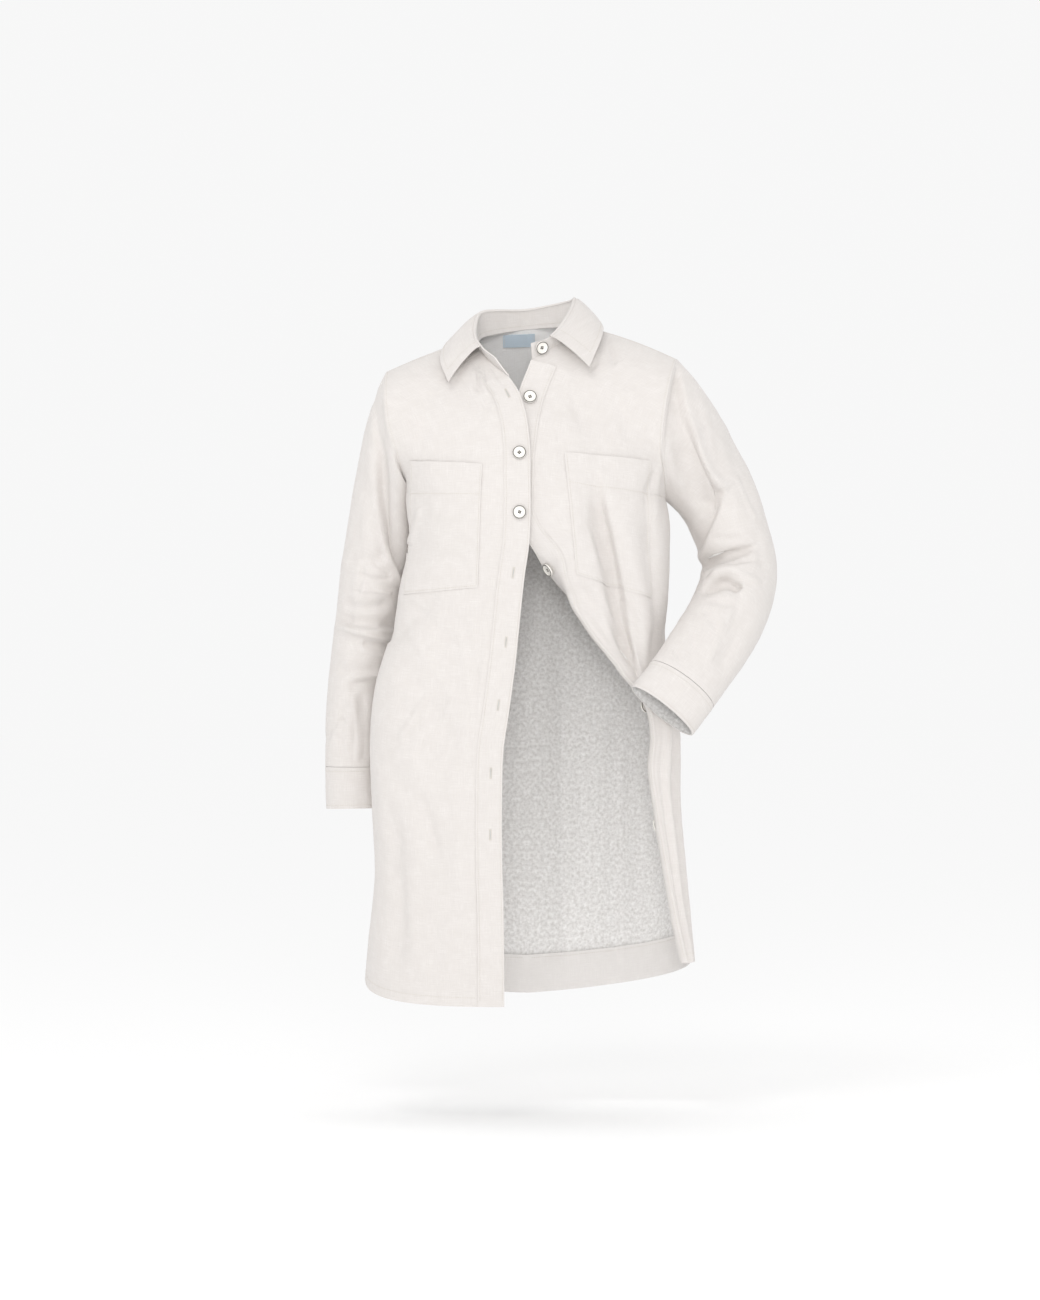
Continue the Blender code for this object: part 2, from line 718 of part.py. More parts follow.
def shape_net(shape, columns, rows, outwards, turns=None):
    """Points and normals of a surface function on a net. Outwards gives the way that its middle faces."""
    closed = turns is not None
    stations = turns if closed else np.linspace(0, 1, columns + 1)
    columns = len(stations) - 1
    across, down = np.meshgrid(stations, np.linspace(0, 1, rows + 1))
    points = shape(across, down)
    low = across - NET_STEP if closed else np.clip(across - NET_STEP, 0, 1)
    high = across + NET_STEP if closed else np.clip(across + NET_STEP, 0, 1)
    run = shape(high, down) - shape(low, down)
    d0, d1 = np.clip(down - NET_STEP, 0, 1), np.clip(down + NET_STEP, 0, 1)
    fall = shape(across, d1) - shape(across, d0)
    normals = np.cross(run, fall)
    normals = normals / np.maximum(np.linalg.norm(normals, axis=-1, keepdims=True), 1e-9)
    middle_row, middle_column = (rows + 1) // 2, (columns + 1) // 2
    if np.dot(normals[middle_row, middle_column], outwards(points[middle_row, middle_column])) < 0:
        normals = -normals
    return points, normals


def down_stations():
    """Rows of every panel: neckline, armhole, bust and waist, skirt, and the depth of the hem facing."""
    facing = 1 - FACING_DEEP / PANEL_LENGTH
    ends = (SEAM / SHOULDER_RATE, NECK_SHARE, ARM_SHARE, WAIST_SHARE, facing, 1)
    stretches = [np.linspace(low, high, count + 1)[1:] for low, high, count in zip(ends, ends[1:], ROWS)]
    return np.concatenate([[ends[0]], *stretches])


def arm_turns():
    """Turns round an armhole that meet the panels' rows, so that sleeve and panels share their corners."""
    down = down_stations()
    rows = down[down <= ARM_SHARE + 1e-6] / ARM_SHARE
    rows[0] = 0
    front = 0.5 - 0.5 * rows[::-1]
    return np.concatenate([front, 0.5 + 0.5 * rows[1:]])


def panel_net(part, neighbour, distances, far_columns):
    """Net of a panel: columns at set distances from its inner edge, then evenly to its outer edge."""
    down = down_stations()
    across = []
    start, end = SEAM / ROW_LENGTH, 1 - SEAM / ROW_LENGTH
    far = np.linspace(0, 1, far_columns + 1)[1:]
    for station in down:
        near = find_across(part, np.full(len(distances), station), np.array(distances, float))
        on_centre_back = part["edge"] is CENTRE_BACK and station >= NECK_SHARE
        near[0] = 0 if on_centre_back else max(near[0], start)
        across.append(np.concatenate([near, near[-1] + (end - near[-1]) * far]))
    across = np.array(across)
    down = np.repeat(down[:, None], across.shape[1], axis=1)
    points = panel_shape(part, across, down)
    normals = normals_of(lambda a, d: panel_shape(part, a, d), across, down, part["sign"])
    # At the shoulder and side seams both panels take the mean of their normals, so their edges stay parallel.
    others = normals_of(lambda a, d: panel_shape(neighbour, a, d), across, down, neighbour["sign"])
    shared = np.zeros(across.shape)
    shared[0, :] = 1
    shared[down[:, 0] >= ARM_SHARE, -1] = 1
    shared = shared * (np.sum(normals * others, axis=-1) > 0)
    mean = normals + others * shared[..., None]
    mean = mean / np.linalg.norm(mean, axis=-1, keepdims=True)
    square = np.maximum(np.sum(mean * normals, axis=-1, keepdims=True), STEEPEST)
    return points, mean / square


def moved_out(net, out, rows=slice(None), columns=slice(None)):
    """Part of a net, moved out along its normals."""
    points, normals = net
    return points[rows, columns] + out * normals[rows, columns], normals[rows, columns]


def on_net(net, x, z):
    """Place and normal on a net's own triangles that the front view shows at (x, z)."""
    points, normals = net
    rows, columns = points.shape[:2]
    best = None
    for j in range(rows - 1):
        for i in range(columns - 1):
            for corners in (((j, i), (j + 1, i), (j, i + 1)), ((j + 1, i + 1), (j, i + 1), (j + 1, i))):
                a, b, c = (points[corner] for corner in corners)
                area = (b[0] - a[0]) * (c[2] - a[2]) - (c[0] - a[0]) * (b[2] - a[2])
                if abs(area) < 1e-6:
                    continue
                s = ((x - a[0]) * (c[2] - a[2]) - (c[0] - a[0]) * (z - a[2])) / area
                t = ((b[0] - a[0]) * (z - a[2]) - (x - a[0]) * (b[2] - a[2])) / area
                outside = max(-s, -t, s + t - 1)
                if best is None or outside < best[0]:
                    normal = sum(w * normals[corner] for w, corner in zip((1 - s - t, s, t), corners))
                    place = a + s * (b - a) + t * (c - a)
                    best = (outside, place, normal / np.linalg.norm(normal))
                if outside <= 0:
                    return best[1], best[2]
    return best[1], best[2]


def laid_net(net, corners, columns, rows, out):
    """Net of a patch laid on a panel inside four corners of the front view, clear of the panel's ridges."""
    fine = LAID_FINE
    view = corner_blend(corners, columns * fine, rows * fine)
    points, normals = np.zeros((*view.shape[:2], 3)), np.zeros((*view.shape[:2], 3))
    for j, k in np.ndindex(view.shape[:2]):
        points[j, k], normals[j, k] = on_net(net, *view[j, k])
    coarse = points[::fine, ::fine]
    rise = np.zeros(coarse.shape[:2])
    for j, k in np.ndindex(view.shape[:2]):
        row, column = min(j // fine, rows - 1), min(k // fine, columns - 1)
        t, s = j / fine - row, k / fine - column
        corner = coarse[row : row + 2, column : column + 2]
        upper = corner[0, 0] * (1 - s) + corner[0, 1] * s
        lower = corner[1, 0] * (1 - s) + corner[1, 1] * s
        chord = upper * (1 - t) + lower * t
        proud = np.sign(out) * np.dot(points[j, k] - chord, normals[j, k])
        rise[row : row + 2, column : column + 2] = np.maximum(rise[row : row + 2, column : column + 2], proud)
    outwards = normals[::fine, ::fine]
    return coarse + (out + np.sign(out) * rise)[..., None] * outwards, outwards


def from_axis(place):
    """Way from the dress's upright middle line to a place in mm."""
    return np.array([place[0], place[1], 0.0])


def corner_blend(corners, columns, rows):
    """Places in a four-sided patch, from its inner top, inner low, outer low and outer top corners."""
    inner_top, inner_low, outer_low, outer_top = (np.array(corner, float) for corner in corners)
    across, down = np.meshgrid(np.linspace(0, 1, columns + 1), np.linspace(0, 1, rows + 1))
    across, down = across[..., None], down[..., None]
    top = inner_top * (1 - across) + outer_top * across
    low = inner_low * (1 - across) + outer_low * across
    return top * (1 - down) + low * down


def stand_shape(across, down):
    """Collar stand: across runs round the neck, down 0 is the fold and 1 the neckline seam."""
    low = along(NECKLINE, "turn", STAND_LOW_END + (1 - 2 * STAND_LOW_END) * across)
    top = along(COLLAR_FOLD, "turn", STAND_TOP_END + (1 - 2 * STAND_TOP_END) * across)
    low = low + (top - low) * STAND_GAP_SHARE
    t = down[..., None]
    middle = (low + top) / 2
    outwards = middle * np.array([1.0, 1.0, 0.0])
    outwards = outwards / np.linalg.norm(outwards, axis=-1, keepdims=True)
    return top * (1 - t) + low * t + outwards * 4 * STAND_BOW * t * (1 - t)


def leaf_shape(across, down):
    """Collar leaf: across runs from right point to left point, down 0 is the fold and 1 the free edge."""
    top = along(COLLAR_FOLD, "turn", LEAF_START + (LEAF_END - LEAF_START) * across)
    low = along(COLLAR_EDGE, "turn", across)
    outwards = top * np.array([1.0, 1.0, 0.0])
    outwards = outwards / np.linalg.norm(outwards, axis=-1, keepdims=True)
    up = np.array([0.0, 0.0, 1.0])
    top = top + outwards * LEAF_OFF[0] + up * LEAF_OFF[1]
    first = top + outwards * LEAF_LEAVE[0] + up * LEAF_LEAVE[1]
    last = low + (top - low) * LEAF_ARRIVE_SHARE + outwards * LEAF_ARRIVE[0] + up * LEAF_ARRIVE[1]
    t = down[..., None]
    return top * (1 - t) ** 3 + 3 * first * t * (1 - t) ** 2 + 3 * last * t * t * (1 - t) + low * t**3


def up_and_out(place):
    """Way that the collar leaf's back faces."""
    return np.array([place[0], place[1], COLLAR_FOLD["z"].max()])


def make_collar(linen):
    stand = shape_net(stand_shape, STAND_COLUMNS, STAND_ROWS, from_axis)
    wall_object("collar_stand", [stand], DOUBLED, linen)
    leaf = shape_net(leaf_shape, LEAF_COLUMNS, LEAF_ROWS, up_and_out)
    wall_object("collar", [leaf], COLLAR_CLOTH, linen)
    return stand


def make_sleeves(linen):
    cuffs = {}
    for side, sleeve in (("right", RIGHT_SLEEVE), ("left", LEFT_SLEEVE)):
        arm = sleeve["arm"]

        def outwards(place, arm=arm):
            nearest = np.argmin(np.abs(arm["z"] - place[2]))
            return place - np.array([arm[name][nearest] for name in "xyz"])

        def tube(around, down, sleeve=sleeve):
            length = CUFF_START - CUFF_GAP - SLEEVE_START
            return sleeve_shape(sleeve, around, SLEEVE_START + length * down)

        def cuff(around, down, sleeve=sleeve):
            return sleeve_shape(sleeve, around, CUFF_START + (1 - CUFF_START) * down)

        sleeve_net = shape_net(tube, 0, SLEEVE_ROWS, outwards, arm_turns())
        wall_object("sleeve_" + side, [sleeve_net], CLOTH, linen)
        cuffs["cuff_" + side] = shape_net(cuff, 0, CUFF_ROWS, outwards, arm_turns())
        wall_object("cuff_" + side, [cuffs["cuff_" + side]], DOUBLED, linen)
    return cuffs


def button(name, place, normal, shell):
    """A turned shell disc with a raised rim and a dished middle, its back on the cloth."""
    mesh = bmesh.new()
    profile = (
        (0.0, -SHANK),
        (0.3, -SHANK),
        (0.3, 0.0),
        (0.86, 0.0),
        (1.0, 0.35),
        (1.0, 0.75),
        (0.88, 1.0),
        (0.7, 0.7),
        (0.0, 0.55),
    )
    verts = [mesh.verts.new((x * BUTTON_RADIUS * MM, 0, z * BUTTON_THICK * MM)) for x, z in profile]
    for low, high in zip(verts, verts[1:]):
        mesh.edges.new((low, high))
    bmesh.ops.spin(
        mesh,
        geom=mesh.verts[:] + mesh.edges[:],
        cent=(0, 0, 0),
        axis=(0, 0, 1),
        angle=2 * math.pi,
        steps=BUTTON_SIDES,
        use_merge=True,
    )
    bmesh.ops.remove_doubles(mesh, verts=mesh.verts, dist=0.00001)
    bmesh.ops.recalc_face_normals(mesh, faces=mesh.faces)
    turn = Vector(normal).to_track_quat("Z", "Y").to_matrix().to_4x4()
    mesh.transform(Matrix.Translation(Vector(place) * MM) @ turn)
    finish(name, mesh, shell)


def fine_points(net):
    """Points of a net and normals of its own cells, sampled a few times across each cell."""
    points = net[0]
    shares = np.arange(4) / 4
    run = points[:-1, 1:] - points[:-1, :-1] + points[1:, 1:] - points[1:, :-1]
    fall = points[1:, :-1] - points[:-1, :-1] + points[1:, 1:] - points[:-1, 1:]
    facing = np.cross(run, fall)
    facing = facing / np.linalg.norm(facing, axis=-1, keepdims=True)
    samples, normals = [], []
    for s in shares:
        for t in shares:
            low = points[:-1, :-1] * (1 - s) + points[:-1, 1:] * s
            high = points[1:, :-1] * (1 - s) + points[1:, 1:] * s
            samples.append((low * (1 - t) + high * t).reshape(-1, 3))
            normals.append(facing.reshape(-1, 3))
    return np.concatenate(samples), np.concatenate(normals)


def seated_button(name, net, place, normal, shell, clear=LIFT):
    """A button parallel to the cloth under it, whose shank stands on that cloth and whose disc clears it."""
    samples, normals = fine_points(net)
    nearest = np.argmin(np.linalg.norm(samples - place, axis=1))
    place = samples[nearest]
    normal = normals[nearest] * np.sign(normals[nearest] @ normal)
    away = samples - place
    height = away @ normal
    aside = np.linalg.norm(away - height[:, None] * normal, axis=1)
    under_disc = height[(aside < BUTTON_RADIUS + 2) & (np.abs(height) < BUTTON_RADIUS)].max()
    under_shank = height[(aside < 0.3 * BUTTON_RADIUS + 2) & (np.abs(height) < BUTTON_RADIUS)].max()
    back = max(under_disc + clear, under_shank + clear + SHANK * BUTTON_THICK)
    button(name, place + back * normal, normal, shell)


def make_buttons(bands, stand, cuffs, shell):
    """Front buttons in the middle of their bands, one on the stand and one on each cuff."""
    for part, rows, band in (
        (FRONT_RIGHT, RIGHT_BAND_BUTTONS, bands["band_right"]),
        (FRONT_LEFT, LEFT_BAND_BUTTONS, bands["band_left"]),
    ):
        edge = part["edge"]["z"]
        for name, (z, inset, clear) in rows.items():
            down = np.array([NECK_SHARE + (1 - NECK_SHARE) * (edge[-1] - z) / (edge[-1] - edge[0])])
            across = find_across(part, down, np.array([inset]))
            place = panel_shape(part, across, down)[0]
            normal = (panel_out(part, across, down, 1)[0]) - place
            seated_button(name, band, place, normal, shell, clear)
    row, column = STAND_BUTTON
    points, normals = stand
    seated_button("button_1", stand, points[row, column], normals[row, column], shell)
    for name, sleeve, turn in (
        ("button_cuff_right", RIGHT_SLEEVE, CUFF_BUTTON_TURNS[0]),
        ("button_cuff_left", LEFT_SLEEVE, CUFF_BUTTON_TURNS[1]),
    ):
        around, down = np.array([turn]), np.array([(1 + CUFF_START) / 2])
        normal = sleeve_normals(sleeve, around, down)[0]
        seated_button(name, cuffs[name[7:]], sleeve_shape(sleeve, around, down)[0], normal, shell)


def make_body(linen, inside, blue):
    """Fronts, back, bands, pockets, hem facing and label."""
    right = panel_net(FRONT_RIGHT, BACK_RIGHT, RIGHT_COLUMNS, FAR_COLUMNS_RIGHT)
    left = panel_net(FRONT_LEFT, BACK_LEFT, LEFT_COLUMNS, FAR_COLUMNS_LEFT)
    back_right = panel_net(BACK_RIGHT, FRONT_RIGHT, (0,), FAR_COLUMNS_BACK)
    back_left = panel_net(BACK_LEFT, FRONT_LEFT, (0,), FAR_COLUMNS_BACK)
    wall_object("front_right", [right], CLOTH, linen)
    wall_object("front_left", [left], CLOTH, linen)
    wall_object("back", [back_right, back_left], CLOTH, inside)
    bands = {}
    for name, net, columns in (("band_right", right, RIGHT_COLUMNS), ("band_left", left, LEFT_COLUMNS)):
        strip = moved_out(net, LIFT + BAND_CLOTH, slice(ROWS[0], None), slice(0, len(columns)))
        bands[name] = strip
        wall_object(name, [strip], BAND_CLOTH, linen)
    for name, net, corners, cells in (
        ("pocket_right", right, POCKET_RIGHT, POCKET_RIGHT_CELLS),
        ("pocket_left", left, POCKET_LEFT, POCKET_LEFT_CELLS),
    ):
        patch = laid_net(net, corners, *cells, POCKET_LIFT + POCKET_CLOTH)
        wall_object(name, [patch], POCKET_CLOTH, linen)
    low_rows, inner_columns = slice(-1 - ROWS[-1], None), slice(0, -1)
    hem = [moved_out(net, -(CLOTH + LIFT), low_rows, inner_columns) for net in (back_right, back_left)]
    wall_object("back_hem", hem, FACING_CLOTH, inside)
    corners = (
        (LABEL_LEFT, LABEL_TOP),
        (LABEL_LEFT, LABEL_TOP - LABEL_DEEP),
        (LABEL_LEFT + LABEL_WIDE, LABEL_TOP - LABEL_DEEP + LABEL_RISE),
        (LABEL_LEFT + LABEL_WIDE, LABEL_TOP + LABEL_RISE),
    )
    halves = zip(back_right, back_left)
    whole_back = [np.concatenate([one[:, ::-1], other], axis=1) for one, other in halves]
    patch = laid_net(whole_back, corners, *LABEL_CELLS, -(CLOTH + LABEL_LIFT))
    wall_object("label", [patch], LABEL_CLOTH, blue)
    return bands


def clear_scene():
    for made in list(bpy.data.objects):
        bpy.data.objects.remove(made)


def main():
    clear_scene()
    linen = material("linen", LINEN, 0.9)
    inside = material("linen_inside", LINEN_INSIDE, 0.95)
    shell = material("shell", SHELL, 0.35)
    blue = material("woven_label", LABEL_BLUE, 0.8)
    bands = make_body(linen, inside, blue)
    stand = make_collar(linen)
    cuffs = make_sleeves(linen)
    make_buttons(bands, stand, cuffs, shell)


main()
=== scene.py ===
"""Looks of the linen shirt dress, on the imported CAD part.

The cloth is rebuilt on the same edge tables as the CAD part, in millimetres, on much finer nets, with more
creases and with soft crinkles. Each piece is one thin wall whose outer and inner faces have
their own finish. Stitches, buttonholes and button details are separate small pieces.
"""

import math

import bmesh
import bpy
import numpy as np
from mathutils import Matrix, Vector, noise


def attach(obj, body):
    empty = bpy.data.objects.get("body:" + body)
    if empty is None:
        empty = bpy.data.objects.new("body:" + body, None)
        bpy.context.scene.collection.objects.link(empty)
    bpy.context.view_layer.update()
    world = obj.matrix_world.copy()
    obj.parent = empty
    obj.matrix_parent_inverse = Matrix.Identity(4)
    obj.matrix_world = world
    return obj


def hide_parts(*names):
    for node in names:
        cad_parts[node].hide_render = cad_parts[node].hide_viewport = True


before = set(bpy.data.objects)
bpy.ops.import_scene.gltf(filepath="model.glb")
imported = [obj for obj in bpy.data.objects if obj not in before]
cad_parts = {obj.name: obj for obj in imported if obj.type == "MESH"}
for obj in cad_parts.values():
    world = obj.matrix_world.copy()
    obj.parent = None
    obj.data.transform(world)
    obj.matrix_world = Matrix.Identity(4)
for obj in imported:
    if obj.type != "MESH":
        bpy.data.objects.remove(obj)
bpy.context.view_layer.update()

MM = 0.001
# Thickness of the cloth and of the layers laid on it, and the room between them. Lengths here are in mm.
CLOTH = 1.5
DOUBLED = 1.8
BAND_CLOTH = 1.2
POCKET_CLOTH = 1.2
FACING_CLOTH = 1.0
COLLAR_CLOTH = 1.6
LABEL_CLOTH = 0.6
LABEL_ROOM = 1.0
PLACKET_CLOTH = 0.9
LAID_WALL = 0.9
LIFT = 0.35
LABEL_LIFT = 0.6
PLACKET_LIFT = 1.3
FACING_STANDS = 1.6
FACING_STANDS_OVER = 0.7

# Shares of a panel's length
NECK_SHARE = 0.12
ARM_SHARE = 0.30
WAIST_SHARE = 0.50

# Bands, pockets, label and hem facing
BAND = 36.0
BAND_SHARE = 0.16
TURN_BEND = 14.0
POCKET_HEM = 42.0
FACING_DEEP = 48.0
LABEL_WIDE = 44.0
LABEL_DEEP = 17.0
LABEL_RISE = 1.5
LABEL_LEFT = -33.0
LABEL_TOP = 18.0
LABEL_BELLY = 0.8
CENTRE_X = 2.0

# Buttons: radius, thickness and shank, and the outline as shares of radius and thickness
BUTTON_RADIUS = 9.2
BUTTON_THICK = 3.0
SHANK = 0.3
BUTTON_OUTLINE = (
    (0.0, -SHANK), (0.3, -SHANK), (0.3, 0.0), (0.86, 0.0), (0.97, 0.18), (1.0, 0.42), (1.0, 0.72),
    (0.96, 0.92), (0.90, 1.0), (0.83, 0.95), (0.76, 0.72), (0.55, 0.60), (0.25, 0.56), (0.0, 0.55),
)
BUTTON_STEPS = 48
BUTTON_END = 0.2
BUTTON_TURN = 0.4
# Discs of painted shade, one in each hole: how far out from the middle, how far up the thickness, and their
# half sizes in mm
HOLE_OUT = 1.5
HOLE_UP = 0.575
HOLE_SIZE = (1.15, 1.15, 0.14)
BUTTON_THREAD_UP = 0.60
BUTTON_THREAD = (0.22, 1.9, 0.3)

# Buttonholes: length, heights down the right band, pitch and half sizes of their stitches, tacks and the
# painted shade strip in the slit
BUTTONHOLE = 13.0
BUTTONHOLE_HEIGHTS = (-71, -313, -405, -490, -579, -662)
BAR_OUT = 0.95
BAR_PITCH = 0.55
BAR_STITCH = (0.75, 0.34, 0.34)
BAR_TACK = (1.7, 0.6, 0.45)
BAR_UP = 0.15
TACK_OUT = 0.6
TACK_UP = 0.2
SLIT_WIDE = 0.28
SLIT_DEEP = 0.12
SLIT_UP = 0.05

# Stitches: pitch, length and half thickness, how far they stand out, and how far in from an edge they run
STITCH_PITCH = 3.0
STITCH_LONG = 2.3
STITCH_THICK = 0.42
STITCH_OUT = 0.1
EDGE_INSET = 3.0
COLLAR_INSET = 5.0
PLACKET_INSET = 2.5
LABEL_INSET = 2.0
LABEL_STITCH = {"pitch": 2.0, "long": 1.5, "thick": 0.3}

# A sewn edge: how far it drops, over what width, and the groove under its stitches
EDGE_DROP = 0.35
EDGE_WIDE = 1.2
GROOVE_DEEP = 0.30
GROOVE_WIDE = 1.1

# Pocket: how its double hem stands up, the line sewn under it, and how its mouth gapes
HEM_STANDS = 0.5
HEM_EASE = 2.0
HEM_LINE_DEEP = 0.3
HEM_LINE_WIDE = 1.4
MOUTH_GAPE = 1.2
MOUTH_DEEP = 14.0
MOUTH_WIDE = 30.0

# Cuffs and plackets: where the cuff's end laps round the wrist and how far it stands up there
CUFF_LAPS = (0.66, 0.64)
LAP_RISE = 1.1
LAP_EASE = 0.06
LAP_STITCH = 0.015
PLACKET = (0.72, 0.87)
PLACKET_ROUND = 0.09
PLACKET_CELLS = (13, 61)

# Nets: cells and steps
PANEL_LENGTH = 950.0
ROW_LENGTH = 220.0
SHOULDER_RATE = 600.0
SEAM = 0.2
FINE_SEAM = 0.02
FINE_SLEEVE_START = 0.0005
BAND_STATIONS = (0, 0.8, 2.2, 3.0, 4.0, 8, 12, 16, 20, 24, 28, 32, 33.0, 33.8, 35.2, BAND)
BUTTONHOLE_STATION = 16
FAR_FINE = 98
BACK_FINE = 80
DOWN_COUNTS = (24, 50, 58, 100, 12)
SLEEVE_FINE_ROWS = 228
CUFF_FINE_ROWS = 34
STAND_FINE = (110, 14)
LEAF_FINE = (130, 26)
POCKET_FINE = (56, 64)
LABEL_FINE = (22, 9)
SLEEVE_STEP = 0.004
SLEEVE_FACE_STEP = 0.006
PANEL_STEP = 0.002
FACE_STEP = 0.004
NET_STEP = 0.01
PATH_COUNT = 160
NEAR_REACH = 0.6
NEAR_COUNT = 121
SLIGHT = 1e-6

# Search for a place of the front view on a panel: start, rounds, step, and share of each correction taken
VIEW_START = (0.35, 0.30)
VIEW_ROUNDS = 14
VIEW_STEP = 0.004
VIEW_EASE = 0.7
VIEW_ACROSS = (0.001, 0.96)
VIEW_DOWN = (0.002, 0.99)
LEAST_AREA = 1e-3

# Collar: the stand's ends, bow and lap, and how the leaf rolls over the fold and comes down to its free edge
STAND_GAP_SHARE = 0.03
STAND_BOW = 1.0
STAND_LOW_END = 0.006
STAND_TOP_END = 0.004
STAND_CRINKLE = 0.4
STAND_LAP = 2.0
LEAF_START = 0.09
LEAF_END = 0.92
LEAF_OFF = (2.6, 1.2)
LEAF_LEAVE = (5.0, 3.0)
LEAF_ARRIVE = (5.0, 4.0)
LEAF_ARRIVE_SHARE = 0.45
LEAF_CRINKLE = 0.8
LEAF_STANDS = 0.5
LEAF_STANDS_FROM = 0.35
POINT_STANDS = 0.8
POINT_LONG = 60.0
ROLL_INSIDE = 2.6
ROLL_ROWS = 8

# How folds die out toward a panel's inner edge, side seam and shoulder, and toward a sleeve's ends
FOLD_INNER = 0.12
FOLD_SIDE = 0.08
FOLD_TOP = 0.06
FOLD_STEPS = 9
FOLD_FADE = (4, 0.15)
FOLD_FACING = 0.5
FOLD_BEHIND = 0.5
CREASE_FADE = (3, 5, 0.1)
CREASE_FACING = 0.6
CREASE_BEHIND = 0.4
FACING_RATE = 1.2
FACING_BACK = 0.2
SLEEVE_FADE_TOP = 0.15
SLEEVE_FADE_END = 0.06
SEAM_FADE = 0.03
CUFF_FADE = 0.02
STRIP_BLEND = 0.1
STEEPEST = 0.7
# Creases of the swept front ease off over this share of its width towards the band
EDGE_EASE = 0.22

# Crinkles: size across, height, and how much longer they run down the cloth. Each set is moved on and leans.
CRINKLES = ((42.0, 0.85, 1.7), (17.0, 0.42, 1.4), (8.0, 0.20, 1.1))
CRINKLE_SHIFT = 17.3
CRINKLE_LEAN = 0.35

# Upright drapes in the swept strip of the left front below the cuff
STRIP_TOP = -470.0
STRIP_FULL = -580.0
STRIP_WAVES = 2.5
STRIP_DEEP = 5.0

# How late a front's and the back's hems rise from the inner edge to the side seam: 1 is a straight rise
FRONT_HEM_RISE = 2.4
BACK_HEM_RISE = 1.15

# Sleeves: where the cuff starts, and how the cap leaves the armhole
CUFF_START = 0.876
CUFF_GAP = 0.001
CAP_OUT_RIGHT = (-0.22, 0.0, 0.0)
CAP_OUT_LEFT = (0.22, 0.0, 0.0)
CAP_FOLLOW = 0.6
CAP_SHARE = 0.38

# Materials: bands a metre of a wave texture at scale 1, size of the slubs that run each way in mm, heights
# between which the wrong side grows smooth, and the angle past which an edge is sharp
WAVE_BANDS = 20 / (2 * math.pi)
SLUBS = ((18.1818, 1.11111), (0.909091, 20.8333))
SLUB_TONES = (0.75, 1.3)
SMOOTH_FROM = -0.2
SMOOTH_TO = -0.08
SHARP_ANGLE = math.radians(50)

# Floor, lights and camera, in metres and watts
FLOOR_HALF = 30.0
FLOOR = -1.05
SKY = 0.95
DRESS_MIDDLE = (0.0, 0.0, -0.4)
KEY_LIGHT = ((-0.8, -3.2, 2.6), 1.0, 22)
FRONT_LIGHT = ((0.0, -6.0, 0.4), 1.2, 80)
CAMERA_DISTANCE = 7.0
VIEW_HEIGHT = 1.768
SENSOR = 36.0
AIM = (-9.5, 0.0, -415.0)


def table(names, *rows):
    """A table as its named columns."""
    return dict(zip(names.split(), np.array(rows, float).T))


# Neckline, from the right front's end round the back to the left front's end.
NECKLINE = table(
    "turn x y z",
    (0.00, -24, -62, -47),
    (0.12, -53, -42, -22),
    (0.25, -67, -5, 5),
    (0.37, -50, 38, 16),
    (0.50, 0, 58, 25),
    (0.63, 50, 38, 27),
    (0.75, 67, -2, 27),
    (0.88, 46, -40, 2),
    (1.00, 5, -58, -24),
)

# Fold line of the collar, which is the top of the stand.
COLLAR_FOLD = table(
    "turn x y z",
    (0.00, -43, -66, -22),
    (0.09, -62, -50, -6),
    (0.18, -70, -26, 10),
    (0.27, -69, 6, 32),
    (0.37, -59, 36, 46),
    (0.50, 0, 62, 50),
    (0.63, 57, 40, 60),
    (0.73, 64, 8, 61),
    (0.83, 54, -28, 36),
    (0.92, 31, -56, 7),
    (1.00, 4, -64, -2),
)

# Free edge of the collar leaf, from the right point to the left one.
COLLAR_EDGE = table(
    "turn x y z",
    (0.00, -106, -78, -54),
    (0.10, -117, -50, -26),
    (0.22, -112, -6, -2),
    (0.35, -84, 58, 2),
    (0.50, 0, 92, 4),
    (0.65, 84, 60, 14),
    (0.78, 103, -4, 26),
    (0.90, 99, -52, 2),
    (1.00, 84, -80, -34),
)

# Armholes, once round from the underarm up the front, over the shoulder and down the back.
ARMHOLE_RIGHT = table(
    "turn x y z",
    (0.00, -164, 12, -198),
    (0.09, -168, -30, -180),
    (0.18, -177, -52, -150),
    (0.27, -189, -58, -110),
    (0.38, -193, -44, -64),
    (0.50, -191, -4, -37),
    (0.62, -190, 36, -56),
    (0.74, -187, 66, -98),
    (0.85, -178, 70, -146),
    (0.93, -168, 50, -182),
)
ARMHOLE_LEFT = table(
    "turn x y z",
    (0.00, 189, 8, -212),
    (0.09, 187, -32, -188),
    (0.18, 182, -56, -152),
    (0.27, 184, -62, -110),
    (0.38, 193, -46, -54),
    (0.50, 204, -2, -20),
    (0.62, 204, 36, -40),
    (0.74, 200, 66, -86),
    (0.85, 194, 70, -146),
    (0.93, 190, 48, -190),
)

